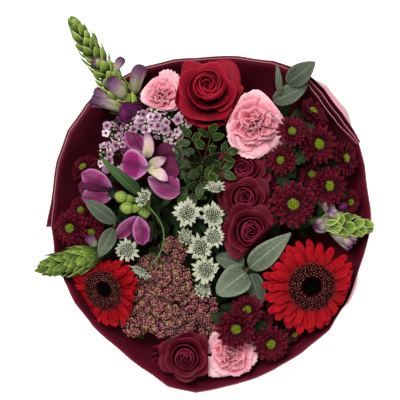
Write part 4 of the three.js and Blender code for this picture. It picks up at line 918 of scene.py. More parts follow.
def star_pattern():
    """A five-pointed star of a sedum: pointed petals round a raised heart."""
    deselect()
    bpy.ops.mesh.primitive_circle_add(vertices=10, radius=1.0, fill_type="TRIFAN", calc_uvs=True)
    thing = opened()
    bpy.ops.object.mode_set(mode="OBJECT")
    for vertex in thing.data.vertices:
        reach = math.hypot(vertex.co.x, vertex.co.y)
        if reach < 0.1:
            vertex.co.z = -0.12
            continue
        turn = round((math.atan2(vertex.co.y, vertex.co.x) - math.pi / 2) / (math.pi / 5))
        if turn % 2:
            vertex.co.x *= 0.42
            vertex.co.y *= 0.42
        vertex.co.z = -0.05 if turn % 2 else 0.28
    edit(thing)
    bpy.ops.mesh.select_all(action="SELECT")
    bpy.ops.mesh.extrude_region_move(TRANSFORM_OT_translate={"value": (0, 0, 0.13)})
    finish_edit()
    star = bpy.context.active_object
    bpy.ops.mesh.primitive_cone_add(vertices=5, radius1=0.34, radius2=0.16, depth=0.5, location=(0, 0, 0.3))
    bpy.context.active_object.select_set(True)
    star.select_set(True)
    bpy.context.view_layer.objects.active = star
    bpy.ops.object.join()
    return Pattern(star)


def pod_pattern(sides=8, rows=6):
    """A plump pointed bud, from a ball drawn out at its tip."""
    deselect()
    bpy.ops.mesh.primitive_uv_sphere_add(segments=sides, ring_count=rows, radius=0.5, location=(0, 0, 0.5))
    thing = opened()
    pick_faces(thing, lambda middle, normal: middle.z > 0.8)
    bpy.ops.transform.resize(value=(0.6, 0.6, 1), center_override=(0, 0, 0.8))
    return Pattern(finish_edit())


def cane_pattern():
    """A straight round stalk in short lengths, which is laid along a bend."""
    rows = 12
    deselect()
    bpy.ops.mesh.primitive_cylinder_add(vertices=6, radius=1.0, depth=1 / rows, location=(0, 0, 0.5 / rows))
    thing = opened()
    pick_faces(thing, lambda middle, normal: normal.z > 0.9)
    for _ in range(rows - 1):
        bpy.ops.mesh.extrude_region_move(TRANSFORM_OT_translate={"value": (0, 0, 1 / rows)})
    return Pattern(finish_edit())


KNOB = knob_pattern()
CANE = cane_pattern()
PIN = pin_pattern()
STAR = star_pattern()
POD = pod_pattern()
POD_FEW = pod_pattern(4, 3)
BROAD = petal_blank(12, 10)
CUT = petal_blank(16, 7)
STRAP = petal_blank(4, 9)
RAY = petal_blank(4, 5)
SPECK = petal_blank(2, 3)
ROUND = petal_blank(4, 4)
LEAF_BLADE = petal_blank(8, 14)
LEAFLET = petal_blank(4, 7)


def petal(
    piece, head, blank, angle, path, half,
    outline=None, wrap=0.0, cup=0.0, ruffle=None, tuck=0.0, bend=None, **look,
):
    """A petal on a head: path gives the radius and height along it, half its half width, bend what
    its sides add to both."""
    u, v = blank.u, blank.v
    reach = v * (outline(u) if outline else 1.0)
    width = half(reach)
    r, z = path(reach)
    ahead_r, ahead_z = path(reach + 1e-3)
    run, rise = ahead_r - r, ahead_z - z
    length = np.hypot(run, rise) + 1e-12
    lift = cup * u**2 * width
    if ruffle:
        lift = lift + ruffle(u, reach)
    r = r - rise / length * lift + tuck * u * reach
    z = z + run / length * lift
    if bend:
        more_r, more_z = bend(u, reach)
        r, z = r + more_r, z + more_z
    side = u * width
    turn = angle + wrap * side / np.maximum(np.abs(r), 0.08 * head.radius)
    flat = (1 - wrap) * side
    x = r * np.cos(turn) - flat * np.sin(turn)
    y = r * np.sin(turn) + flat * np.cos(turn)
    surface_points = pressed(head.place(np.stack([x, y, z], axis=2)), head)
    thickness = look.pop("thickness", 0.35)
    piece.add(blank, skinned(blank, surface_points, thickness), **look)


def pod(piece, head, width, height, level=0.0, **look):
    """A plump pod on a head's axis."""
    piece.add(POD, head.place(POD.points * (width, width, height) + (0, 0, level)), **look)


def knobs(piece, head, pattern, count, radius, level, size, tall, rng, **look):
    """Small copies set in a spiral over a dome."""
    for k in range(count):
        share = math.sqrt((k + 0.5) / count)
        turn = GOLDEN * k
        r = radius * share
        lean = share * 0.7
        scale = size * (1 + rng.uniform(-0.15, 0.15))
        local = pattern.points * (scale, scale, scale * tall) @ turned_to(tilted_axis(lean, turn)).T
        local = local + (r * math.cos(turn), r * math.sin(turn), level(share))
        piece.add(pattern, pressed(head.place(local), head), tint=rng.uniform(0.2, 0.8), **look)


# Stems


def stalk(node, cut_test):
    """A rounded copy of a node's stem: its bloom is cut away and the cut is closed."""
    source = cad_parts[node]
    thing = bpy.data.objects.new("stalk", source.data.copy())
    bpy.context.scene.collection.objects.link(thing)
    thing.data.materials.clear()
    edit(thing)
    bpy.ops.mesh.select_all(action="SELECT")
    bpy.ops.mesh.remove_doubles(threshold=WELD)
    bpy.ops.mesh.select_all(action="DESELECT")
    bpy.ops.mesh.select_mode(type="VERT")
    bpy.ops.object.mode_set(mode="OBJECT")
    chosen = cut_test(read(thing.data.vertices, "co", 3) * MM - SHIFT)
    thing.data.vertices.foreach_set("select", chosen)
    bpy.ops.object.mode_set(mode="EDIT")
    bpy.ops.mesh.delete(type="VERT")
    for _ in range(3):
        bpy.ops.mesh.select_all(action="SELECT")
        bpy.ops.mesh.fill_holes(sides=0)
        bpy.ops.mesh.select_mode(type="VERT")
        bpy.ops.mesh.select_all(action="DESELECT")
        bpy.ops.mesh.select_non_manifold()
        bpy.ops.mesh.delete(type="VERT")
    bpy.ops.mesh.select_all(action="SELECT")
    bpy.ops.mesh.fill_holes(sides=0)
    bpy.ops.mesh.tris_convert_to_quads()
    finish_edit()
    lowest = min(thing.data.polygons, key=lambda face: face.center.z)
    turned_in = lowest.normal.z > 0
    edit(thing)
    if turned_in:
        bpy.ops.mesh.flip_normals()
    pick_faces(thing, lambda middle, normal: normal.z < -0.5 and middle.z < CUT_BELOW)
    bpy.ops.object.mode_set(mode="OBJECT")
    for face in thing.data.polygons:
        face.material_index = int(face.select)
    bpy.ops.object.mode_set(mode="EDIT")
    bpy.ops.mesh.region_to_loop()
    bpy.ops.transform.edge_crease(value=1.0)
    bpy.ops.object.mode_set(mode="OBJECT")
    return subdivided(thing, "CATMULL_CLARK")


def above(bloom_heads, drop, wide=1.3):
    """A test for the points of a node that belong to its blooms."""

    def test(points):
        chosen = np.zeros(len(points), bool)
        for head in bloom_heads:
            local = (points - head.base) @ head.turn
            spread = np.hypot(local[:, 0], local[:, 1])
            level = local[:, 2]
            chosen |= (level > -drop) & (spread < head.radius * wide) & (level < 30)
            chosen |= (level > -drop - 5) & (spread > 4) & (spread < head.radius * 1.1) & (level < 5)
        return chosen

    return test


def sepals(piece, head, count, length, width, droop, level=-3.0):
    """Small green leaves that hold a bloom from below; a negative droop lifts their tips."""
    for k in range(count):
        angle = TURN * k / count + 0.3
        petal(
            piece, head, STRAP, angle,
            lambda s: (2.2 + length * s * 0.9, level + 1.5 * np.sin(s * 3.0) - droop * s**2),
            lambda s: width * (1 - s) ** 0.6 + 0.3, cup=0.25, thickness=0.6,
        )


# Roses


def rose(name, material, heart, seed, slide=0.0, spread=0.98, point=0.05):
    """A rolled heart of close petals, a ring that opens round it, and broad outer petals whose
    sides turn back, which leaves each with a pointed tip. slide moves the heart up the bloom."""
    head = ROSES[name]
    rng = np.random.default_rng(seed)
    piece = Piece()
    R, depth = head.radius, head.depth
    rings = [  # petals, first and last radius, width, height of the first and the last rim
        (heart, 0.05, 0.33, 1.5, 0.97, 1.0),
        (5, 0.42, 0.54, 0.95, 1.0, 0.96),
        (5, 0.72, 0.82, 0.85, 0.96, 0.88),
        (6, spread, spread + 0.12, 0.72, 0.82, 0.66),
    ]
    turn = rng.uniform(*ANY_TURN)
    for ring, (count, first, last, span, high, low) in enumerate(rings):
        open_share = ring / (len(rings) - 1)
        sharp = mix(0.05, point, open_share)
        shifted = head.base + (0, slide * R * (1 - open_share), 0)
        round_heart = head.within(shifted, head.turn)
        for k in range(count):
            share = k / (count - 1)
            rim = R * mix(first, last, share)
            top = depth * (mix(high, low, share) + rng.uniform(-0.03, 0.03))
            foot = depth * mix(0.5, 0.12, open_share)
            lip = rim * mix(0.12, 0.26, open_share)
            swell = rim * mix(0.5, 0.05, open_share)
            tip = rng.uniform(-0.25, 0.25) * open_share
            turn += GOLDEN if ring == 0 else TURN / count + rng.uniform(-0.15, 0.15)

            def path(s):
                opened = smooth(s, 0.45, 1.0)
                r = rim * 0.32 + (rim * 0.68 - lip) * s**0.8 + lip * opened
                r = r + swell * hump(s, 0, 1) * (1 - open_share)
                steep = np.clip(s, 0, 1.1) ** mix(0.9, 0.62, open_share)
                return r, mix(foot, top, steep) - lip * 0.4 * opened**2

            def bend(u, s):
                back = smooth(s, 0.45, 1.0) * smooth(np.abs(u - tip), 0.1, 1.1)
                return -rim * mix(0.02, 0.14, open_share) * back, -rim * mix(0.03, 0.3, open_share) * back

            petal(
                piece, round_heart, BROAD, turn, path,
                lambda s: span * rim * (0.35 + 0.65 * np.clip(s, 0, 1) ** 0.5),
                outline=lambda u: 1 - sharp * np.abs(u - tip) - 0.1 * np.abs(u - tip) ** 2.5,
                wrap=mix(1.0, 0.85, open_share),
                ruffle=lambda u, s, p=rng.uniform(0, 6): 0.02 * R * s**3 * np.sin(3 * u + p),
                tuck=R * mix(0.035, 0.05, open_share), bend=bend,
                # the outer rings get darker tints: painted shade on the petals that tilt away from the light
                tint=rng.uniform(0.35, 0.75) * mix(1, 0.5, open_share),
            )
    piece.made(f"{name}_petals", material, [material], [f"{name}_bloom"])
    green = Piece()
    green.take(stalk(f"{name}_stem", above([head], 8.5)))
    sepals(green, head, 5, R * 0.5, 3.2, R * 0.16)
    pod(green, head, 10, 12, -10.5)
    underleaves(green, head, rng, 5, R * 1.2, 15, 1, (12, 30), 0.12)
    finishes = ("stem", "deep_leaf")
    green.made(f"{name}_stalk_and_sepals", "stem", finishes, [f"{name}_stem"])


# Carnations


def carnation(number, seed):
    """Broad pale petals with cut edges lie outside; towards the heart they stand up and crumple."""
    head = CARNATION_HEADS[number - 1]
    rng = np.random.default_rng(seed)
    piece = Piece()
    R, depth = head.radius, head.depth
    teeth = 0.05 * (np.arange(CUT.across + 1) % 2)
    rings = [  # petals, reach, height, width, how crumpled, how pale
        (7, 1.05, 0.42, 0.6, 0.03, 0.9),
        (6, 0.86, 0.62, 0.54, 0.05, 0.65),
        (8, 0.62, 0.84, 0.36, 0.13, 0.4),
        (8, 0.42, 0.95, 0.28, 0.17, 0.3),
        (7, 0.24, 1.0, 0.2, 0.17, 0.2),
    ]
    for ring, (count, far, high, wide, crumple, paleness) in enumerate(rings):
        count -= 2 if R < 32 else 0
        for k in range(count):
            reach = R * far * (1 + rng.uniform(-0.22, 0.04))
            top = depth * (high + rng.uniform(-0.1, 0.08))
            waves, phase = rng.uniform(0.8, 1.7), rng.uniform(*ANY_TURN)
            slant = rng.uniform(-0.16, 0.16) * R

            def ruffle(u, s):
                wavy = np.sin(waves * math.pi * u + phase) + 0.22 * np.sin(7 * waves * u + phase)
                return crumple * R * smooth(s, 0.35, 1) * wavy

            petal(
                piece, head, CUT, TURN * (k + 0.37 * ring) / count + rng.uniform(-0.3, 0.3),
                lambda s: (reach * s**1.2, mix(depth * 0.15, top, s**0.75)),
                lambda s, w=R * wide * rng.uniform(0.85, 1.15): w * (0.1 + 0.9 * smooth(s, 0.2, 0.85)),
                outline=lambda u: 1 - 0.22 * np.abs(u) ** 2.5 - teeth * (1 - 0.3 * np.abs(u)), wrap=0.3,
                cup=0.12, ruffle=ruffle, bend=lambda u, s: (slant * u * s, 0 * s),
                tint=paleness + rng.uniform(-0.12, 0.12),
            )
    name = f"carnation_{number}"
    piece.made(f"{name}_petals", "carnation", ["carnation"], [f"{name}_bloom"])
    green = Piece()
    green.take(stalk(f"{name}_stem", above([head], 19.5)))
    pod(green, head, 11.5, 26, -21)
    sepals(green, head, 5, 5.5, 3.0, -3.0, level=-5)
    underleaves(green, head, rng, 5, R * 1.5, 4.5, 1, (10, 34), full=0.6)
    finishes = ("stem", "eucalyptus")
    green.made(f"{name}_stalk_and_calyx", "stem", finishes, [f"{name}_stem"])


# Gerberas


def gerbera(number, seed):
    """Three rows of long rays, short dark ones inside them and a disc of tubular florets."""
    head = GERBERA_HEADS[number - 1]
    rng = np.random.default_rng(seed)
    R = head.radius
    rays = Piece()
    # Of each row of rays: how many, their reach, height, rise and width.
    rows = [(24, 1.0, 1.5, 0.05, 0.094), (21, 0.92, 2.6, 0.1, 0.09), (16, 0.82, 3.6, 0.12, 0.075)]
    for row, (count, reach, low, rise, width) in enumerate(rows):
        for k in range(count):
            tip = R * reach * (1 + rng.uniform(-0.05, 0.02))
            up = R * (rise + rng.uniform(-0.02, 0.03))
            petal(
                rays, head, STRAP, TURN * (k + 0.5 * row) / count + rng.uniform(-0.04, 0.04),
                lambda s: (mix(R * 0.3, tip, s), low + up * np.sin(s * 2.0) + 1.2 * s**3),
                lambda s: R * width * hump(s, 0.14, 0.72, 0.6), outline=lambda u: 1 - 0.09 * u**2,
                cup=rng.uniform(0.1, 0.3), tint=rng.uniform(0.25, 0.75), thickness=0.5,
            )
    name = f"gerbera_{number}"
    rays.made(f"{name}_petals", "gerbera", ["gerbera"], [f"{name}_rays"])
    disc = Piece()
    for k in range(36):
        petal(
            disc, head, RAY, TURN * k / 36 + rng.uniform(-0.06, 0.06),
            lambda s, b=R * rng.uniform(0.46, 0.53): (mix(R * 0.2, b, s), 5.2 + 2.9 * s),
            lambda s: R * 0.056 * hump(s, 0.2, 0.7, 0.6), cup=0.2, tint=rng.uniform(0.2, 0.8), finish=2,
        )
    pod(disc, head, R * 0.56, 5, 1.6, finish=1)
    knobs(disc, head, KNOB, 130, R * 0.18, lambda q: 5.4 + 1.0 * q**2, 0.6, 1.3, rng, finish=1)
    florets = [(30, 0.24), (40, 0.29), (48, 0.34), (54, 0.39), (58, 0.44), (62, 0.49)]
    for row, (count, reach) in enumerate(florets):
        for k in range(count):
            turn = TURN * (k + 0.4 * row) / count + rng.uniform(-0.05, 0.05)
            far = reach * R * rng.uniform(0.97, 1.04)
            petal(
                disc, head, SPECK, turn, lambda s: (far - R * 0.07 * (1 - s), 5.6 + 0.4 * row + 2.5 * s),
                lambda s: 0.85 * (1 - 0.7 * s), cup=0.5, tint=rng.uniform(0.2, 0.9) - 0.12 * row,
            )
    finishes = ("gerbera_floret", "disc", "gerbera_inner")
    disc.made(f"{name}_florets", "gerbera_disc", finishes, [f"{name}_disc"])
    green = Piece()
    green.take(stalk(f"{name}_stem", above([head], 7.5)))
    cup = POD.points * (R * 0.4, R * 0.4, 9) - (0, 0, 8.4)
    green.add(POD, head.place(np.minimum(cup, [99, 99, -0.1])))
    sepals(green, head, 16, R * 0.2, 1.4, -2.0, level=-3.5)
    green.made(f"{name}_stalk_and_cup", "stem", ["stem"], [f"{name}_stem"])


# Sprays


def begun_spray(node, seed, drop, finish):
    """The random numbers of a spray and its piece, with its bare stalk in it."""
    piece = Piece()
    piece.take(stalk(node, above(SPRAY_HEADS[node], drop)), finish)
    return np.random.default_rng(seed), piece


def chrysanthemum_spray(number, seed):
    """Small heads of three rows of narrow folded rays round a green button."""
    node = f"chrysanthemum_spray_{number}"
    rng, piece = begun_spray(node, seed, 1.2, 2)
    for head in SPRAY_HEADS[node]:
        R = head.radius
        # Of each row of rays: how many, their reach, height and rise.
        rows = [(17, 1.0, 0.2, 0.12), (16, 0.84, 1.3, 0.26), (13, 0.62, 2.4, 0.36)]
        turn = rng.uniform(0, 6)
        for row, (count, reach, low, rise) in enumerate(rows):
            for k in range(count):
                tip = R * reach * (1 + rng.uniform(-0.07, 0.03))
                up = R * rise * rng.uniform(0.5, 1.3)
                petal(
                    piece, head, RAY, turn + TURN * (k + 0.5 * row) / count + rng.uniform(-0.07, 0.07),
                    lambda s: (mix(R * 0.12, tip, s), low + up * s**1.2),
                    lambda s: R * 0.112 * hump(s, 0.16, 0.66, 0.7), outline=lambda u: 1 - 0.12 * u**2,
                    cup=0.45, tint=rng.uniform(0.2, 0.8),
                )
        pod(piece, head, R * 0.5, 4.6, tint=0.1, finish=1)
        knobs(piece, head, KNOB, 60, R * 0.25, lambda q: 3.2 + 2.2 * (1 - q**2), R * 0.04, 1.2, rng, finish=1)
        pod(piece, head, R * 0.4, 6, -3.4, finish=2)
        underleaves(piece, head, rng, 3, R * 1.4, 14, 3, (8, 26), 0.5)
        lower_leaves(piece, head.base, rng, 4, 30, 16, 3, (34, 92))
    finishes = ("chrysanthemum", "button", "stem", "deep_leaf")
    piece.made(f"{node}_flowers", "chrysanthemum", finishes, [node])


def astrantia(number, seed):
    """Pincushions of white florets on green stalks over a ruff of pointed bracts."""
    node = f"astrantia_{number}"
    rng, piece = begun_spray(node, seed, 1.2, 2)
    for head in SPRAY_HEADS[node]:
        R = head.radius
        turn = rng.uniform(0, 6)
        for k in range(22):
            tip = R * rng.uniform(0.8, 1.12) * (1 if k % 2 else 0.88)
            petal(
                piece, head, RAY, turn + TURN * k / 22 + rng.uniform(-0.13, 0.13),
                lambda s: (mix(R * 0.1, tip, s), 0.6 + (0.9 if k % 2 else 0) + R * 0.2 * s**1.3),
                lambda s: R * 0.125 * hump(s, 0.2, 0.74, 0.8) + 0.1, outline=lambda u: 1 - 0.1 * u**2,
                cup=0.4, tint=rng.uniform(0.3, 0.8),
            )
        pod(piece, head, R * 0.9, 3.6, -0.6, finish=3)
        knobs(piece, head, PIN, 34, R * 0.44, lambda q: 0.4 + 0.4 * (1 - q), 4.2, 1.0, rng, finish=4)
        knobs(piece, head, KNOB, 54, R * 0.6, lambda q: 2.2 + 3.2 * (1 - q**2), 0.62, 1.0, rng, finish=1)
        underleaves(piece, head, rng, 3, R * 1.6, 8, 3, (20, 36), 0.4)
        lower_leaves(piece, head.base, rng, 7, 32, 17, 3, (60, 190))
    if number == 3:
        bend = [[-55, -2, 384], [-42, -18, 388], [-36, -38, 390], [-44, -60, 392], [-58, -70, 388]]
        cane(piece, [seen(place) for place in bend], 0.9, 2)
    finishes = ("bract", "cushion_floret", "stem", "deep_leaf", "cushion_stalk")
    piece.made(f"{node}_flowers", "astrantia", finishes, [node])


def sedum(seed):
    """Hundreds of stars on short stalks, drawn together in small tufts over each cushion."""
    rng, piece = begun_spray("sedum", seed, 1.2, 1)
    for head in SPRAY_HEADS["sedum"]:
        R = head.radius
        spread = R * 0.97
        tufts = int(R * R * 0.035)
        tuft = [spread * math.sqrt((k + 0.5) / tufts) * around(GOLDEN * k)[:2] for k in range(tufts)]
        tuft = np.array(tuft) + rng.uniform(-2.2, 2.2, (tufts, 2))
        tall = rng.uniform(-1.6, 1.0, tufts)
        count = int(R * R * 0.42)
        for k in range(count):
            share = math.sqrt((k + 0.5) / count)
            turn = GOLDEN * k
            spot = spread * share * around(turn)[:2]
            apart = np.hypot(*(tuft - spot).T)
            own = np.argmin(apart)
            near, gap = tuft[own], apart[own]
            spot = spot + (near - spot) * 0.12 + rng.uniform(-0.5, 0.5, 2)
            level = 13.8 + tall[own] - 6.5 * share**2.4 - 0.12 * gap**2 + rng.uniform(-1.5, 1.3)
            out = (spot - near) * 0.12
            lean = share**2 * 0.8
            axis = Vector((*(math.sin(lean) * around(turn)[:2] + out), 1))
            axis = (axis + Vector(rng.uniform(-0.2, 0.2, 3))).normalized()
            size = rng.uniform(1.4, 2.3)
            local = STAR.points * size @ turned_to(axis).T
            middle = np.array([spot[0], spot[1], level])
            piece.add(STAR, pressed(head.place(local + middle), head), tint=rng.uniform(0.1, 0.9))
            foot = POD_FEW.points * (0.8, 0.8, 9) + middle - (0, 0, 8.8)
            piece.add(POD_FEW, pressed(head.place(foot), head), finish=1)
        underleaves(piece, head, rng, 2, R * 1.5, 13, 2, (4, 18), 0.1)
    finishes = ("sedum", "sedum_stalk", "leaf")
    piece.made("sedum_stars", "sedum", finishes, ["sedum"])


def waxflower(number, seed):
    """Waxy five-petalled florets round a dark cup, buds between them and needle leaves below."""
    node = f"waxflower_{number}"
    rng, piece = begun_spray(node, seed, 0.8, 3)
    for head in SPRAY_HEADS[node]:
        first = rng.uniform(0, 6)
        for j in range(6):
            where = first + TURN * j / 5 + rng.uniform(-0.3, 0.3)
            away = 0 if j == 5 else rng.uniform(4.6, 6.4)
            offset = np.array([away * math.cos(where), away * math.sin(where), rng.uniform(-2, 2) + (j == 5)])
            tilt = rng.uniform(0.1, 0.9)
            lean = Vector((tilt * math.cos(where), tilt * math.sin(where), 1)).normalized()
            small = head.within(head.base + head.turn @ offset, head.turn @ turned_to(lean))
            rod(piece, head.base - head.turn[:, 2] * 9, small.base, 0.45, finish=3)
            if j % 3 == 2:
                for b in range(3):
                    spot = np.array([2.4 * math.cos(2.1 * b), 2.4 * math.sin(2.1 * b), rng.uniform(0.4, 2.4)])
                    bulk = rng.uniform(1.9, 3.0)
                    bud = POD.points * (bulk, bulk, bulk * 1.15) + spot
                    piece.add(POD, pressed(small.place(bud), small), rng.uniform(0.2, 0.8), 2)
                    rod(piece, small.base, small.place(spot), 0.35, finish=3)
                continue
            size, white = rng.uniform(3.9, 5.7), rng.uniform(0.1, 0.9)
            rise = rng.uniform(0.4, 2.6)
            for k in range(5):
                petal(
                    piece, small, ROUND, first + TURN * k / 5,
                    lambda s: (mix(0.9, size, s), 0.8 + rise * s),
                    lambda s: size * 0.42 * hump(s, 0.15, 0.6, 0.7), outline=lambda u: 1 - 0.25 * u**2,
                    cup=0.35, tint=white + rng.uniform(-0.1, 0.1), thickness=0.4,
                )
            knobs(piece, small, KNOB, 9, 1.1, lambda q: 1.3 + 0.5 * q, 0.42, 1.0, rng, finish=1)
        for k in range(9):
            turn = rng.uniform(*ANY_TURN)
            start = head.base - head.turn[:, 2] * rng.uniform(3, 16)
            reach = head.turn @ around(turn, rng.uniform(0.2, 1.2))
            end = start + unit(reach) * rng.uniform(9, 15)
            blade(piece, head, start, end, 1.6, full=0.7, tint=rng.uniform(0.2, 0.8), finish=4)
    finishes = ("waxflower", "wax_heart", "wax_bud", "stem", "leaf")
    piece.made(f"{node}_flowers", "waxflower", finishes, [node])


# Snapdragons


def snapdragon(number, seed):
    """A spike of overlapping buds that narrows to its tip, with hooded flowers at its foot."""
    node = f"snapdragon_{number}"
    root, tip, thick, _ = SNAPDRAGONS[number - 1]
    rng = np.random.default_rng(seed)
    start, end = seen(root), seen(tip)
    spine = end - start
    length = np.linalg.norm(spine)
    along = spine / length
    upright = turned_to(along)
    spike = SPIKES[number - 1]

    def test(points):
        local = (points - start) @ upright
        chosen = (local[:, 2] > -1) & (np.hypot(local[:, 0], local[:, 1]) < 22)
        for bloom in SNAP_BLOOMS[number - 1]:
            chosen |= np.linalg.norm(points - bloom.centre, axis=1) < 14
        return chosen

    piece = Piece()
    piece.take(stalk(node, test), finish=1)
    core = POD.points * (thick * 1.2, thick * 1.2, length)
    piece.add(POD, pressed(core @ upright.T + start, spike), tint=0.1)
    count, wide, shape = 84, 1, {"full": 0.72, "fold": -0.4, "arch": 0.13, "blunt": 0.75}
    if number == 3:
        # Its bracts stand open and are fewer and wider.
        count, wide, shape = 30, 1.35, {"full": 1.1, "fold": 0.35, "arch": -0.16, "blunt": 0.45}
    for k in range(count):
        share = k / (count - 1)
        turn = GOLDEN * k + rng.uniform(-0.25, 0.25)
        round_about = around(turn)
        reach = thick * mix(1.25, 0.66, share**2) * rng.uniform(0.9, 1.08)
        run = mix(18, 12, share) * rng.uniform(0.8, 1.15)
        level = length * share * 0.95 - 4
        foot = round_about * reach * 0.5 + (0, 0, level)
        out = mix(1.0, 0.3, smooth(share, 0.75, 1)) * rng.uniform(0.95, 1.12)
        tip = round_about * reach * out + (0, 0, level + run)
        axis = unit(tip - foot)
        bud = POD_FEW.points * (run * 0.4, run * 0.4, run * 0.8) @ turned_to(axis).T + foot - round_about
        piece.add(POD_FEW, pressed(bud @ upright.T + start, spike), rng.uniform(0.4, 0.8))
        blade(
            piece, spike, (foot + round_about * 1.6) @ upright.T + start,
            (tip + round_about * 0.6) @ upright.T + start,
            mix(12, 8.5, share) * rng.uniform(0.8, 1.1) * wide,
            upright @ (round_about + (0, 0, rng.uniform(-0.3, 0.1))),
            tint=rng.uniform(0.0, 1.0), finish=0 if number == 2 else 5, **shape,
        )
    flowers = SPIKES[number - 1] + SNAP_BLOOMS[number - 1]
    for foot, tip, width, opened, kind in SNAP_FLOWERS[number - 1]:
        place = mix(seen(foot), seen(tip), 0.5)
        near = min(flowers, key=lambda head: np.linalg.norm(head.centre - place))
        hooded(piece, near, seen(foot), seen(tip), width, opened, rng, kind)
        rod(piece, start - along * 4, seen(foot), 0.9)
    for k in range(7):
        turn = rng.uniform(*ANY_TURN)
        reach = around(turn, rng.uniform(-0.2, 0.3))
        low = start - along * rng.uniform(4, 12)
        blade(piece, spike, low, low + reach * rng.uniform(22, 34), 6.5, full=0.8, tint=0.3, finish=3)
    finishes = ("snap_bud", "stem", "snap_petal", "deep_leaf", "snap_dark", "snap_bract", "snap_lip")
    piece.made(f"{node}_spike", "snapdragon", finishes, [node])


def hooded(piece, near, foot, tip, width, opened, rng, kind):
    """A snapdragon's flower: a tube of fused petals, pale at its foot, closed by two lips."""
    length = np.linalg.norm(tip - foot)
    head = near.within(foot, turned_to((tip - foot) / length))
    far = width / 2

    def shell(s):
        return far * hump(s, 0.14, 0.86, 0.55)

    for k in range(4):
        petal(
            piece, head, STRAP, math.pi / 2 * k,
            lambda s, out=0.35 * (k % 2): (shell(s) + out, length * np.sin(1.57 * s)),
            lambda s: 0.86 * shell(s), wrap=1.0, tint=rng.uniform(0.3, 0.6), finish=kind, thickness=0.5,
        )
    for k in range(5):
        wide = far * rng.uniform(0.5, 0.62)

        def lobe(s):
            t = mix(0.42, 0.95, s)
            return shell(t) + 0.7 + opened * far * 1.1 * s**2, length * (np.sin(1.57 * t) + 0.05 * opened * s)

        petal(
            piece, head, STRAP, TURN * k / 5, lobe, lambda s: wide * hump(s, 0.12, 0.76), wrap=0.8,
            ruffle=lambda u, s, p=rng.uniform(0, 6): opened * 1.6 * s**2 * np.sin(3 * u + p),
            tint=rng.uniform(0.2, 0.9), finish=6 if kind == 2 and near.node != "snapdragon_3" else kind,
            thickness=0.5,
        )
    sepals(piece, head, 5, width * 0.3, width * 0.16, -width * 0.35, level=0.5)


# Leaves


def blade(
    piece, head, start, end, width, up=(0, 0, 1),
    full=0.8, fold=0.2, arch=0.08, wave=0.0, lobes=0.0, blunt=0.7, **look,
):
    """A leaf blade from its foot to its tip, folded at its midrib and pressed as its head is."""
    blank = look.pop("blank", LEAFLET)
    forward = end - start
    length = np.linalg.norm(forward)
    side = np.cross(forward, up)
    side /= np.linalg.norm(side) + 1e-9
    rise = np.cross(side, forward) / length
    u, v = blank.u, blank.v
    half = width / 2 * np.maximum(0.08, np.sin(math.pi * np.clip(v, 0, 1) ** full) ** blunt)
    half = half * (1 + lobes * (np.arange(blank.along + 1) % 2 - 0.5))[:, None]
    lift = length * arch * np.sin(math.pi * v) + np.abs(u) * half * fold
    lift = lift + wave * np.sin(v * 9 + u * 2 + look.get("tint", 0) * 12) * np.abs(u)
    points = start + v[..., None] * forward + (u * half)[..., None] * side + lift[..., None] * rise
    if head is not None:
        points = pressed(points, head)
    piece.add(blank, skinned(blank, points, look.pop("thickness", 0.45)), **look)
    return points


def cane(piece, places, radius, finish=1):
    """A stalk that bends through its places."""
    places = np.array(places)
    steps = np.linspace(0, 1, len(places))
    t = CANE.points[:, 2]
    bends = [np.polyfit(steps, places[:, k], len(places) - 1) for k in range(3)]
    centre = np.stack([np.polyval(b, t) for b in bends], axis=1)
    ahead = np.stack([np.polyval(np.polyder(b), t) for b in bends], axis=1)
    ahead /= np.linalg.norm(ahead, axis=1, keepdims=True)
    side = np.cross(ahead, (0.3, 0.2, 1.0))
    side /= np.linalg.norm(side, axis=1, keepdims=True)
    rise = np.cross(ahead, side)
    local = CANE.points * radius
    piece.add(CANE, centre + local[:, :1] * side + local[:, 1:2] * rise, finish=finish)


def rod(piece, start, end, radius, finish=1):
    """A thin straight stalk that narrows to its ends."""
    axis = end - start
    length = np.linalg.norm(axis)
    local = POD_FEW.points * (radius * 2, radius * 2, length)
    piece.add(POD_FEW, local @ turned_to(axis / length).T + start, finish=finish)


def underleaves(piece, head, rng, count, length, width, finish, low, lobes=0.0, full=0.8):
    """Leaves on the stalk under a bloom, which fill the gaps beside it."""
    first = rng.uniform(*ANY_TURN)
    for k in range(count):
        turn = first + TURN * k / count + rng.uniform(-0.4, 0.4)
        start = head.base - head.turn[:, 2] * rng.uniform(*low)
        reach = head.turn @ around(turn, rng.uniform(-0.3, 0.15))
        end = start + unit(reach) * length * rng.uniform(0.8, 1.15)
        up = head.turn @ np.array([rng.uniform(-0.4, 0.4), rng.uniform(-0.4, 0.4), 1.0])
        blade(
            piece, head, start, end, width * rng.uniform(0.85, 1.1), up, full, 0.3, 0.12, 0.3, lobes,
            blank=LEAF_BLADE if lobes else LEAFLET, tint=rng.uniform(0.2, 0.8), finish=finish,
        )


def lower_leaves(piece, summit, rng, count, length, width, finish, low):
    """Leaves further down a twig, in the shade under the blooms."""
    foot = np.array([*AXIS, TIE_HEIGHT])
    for k in range(count):
        start = summit + (foot - summit) * rng.uniform(*low) / (summit[2] - foot[2])
        turn = GOLDEN * k + rng.uniform(-0.3, 0.3)
        reach = around(turn, rng.uniform(0.0, 0.6))
        end = start + unit(reach) * length * rng.uniform(0.8, 1.1)
        up = (rng.uniform(-0.4, 0.4), rng.uniform(-0.4, 0.4), 1.0)
        ends = inside_paper(np.stack([start, end]))
        blade(piece, None, *ends, width, up, 0.85, 0.2, 0.1, tint=rng.uniform(0.1, 0.5), finish=finish)


def near_leaf(points, spec, before, gap):
    """Which points lie within the gap of a leaf's middle line, or a little before its foot."""
    start, end = seen(spec[0]), seen(spec[1])
    run = end - start
    share = np.clip((points - start) @ run / (run @ run), -before, 1)
    return np.linalg.norm(points - (start + share[:, None] * run), axis=1) < gap


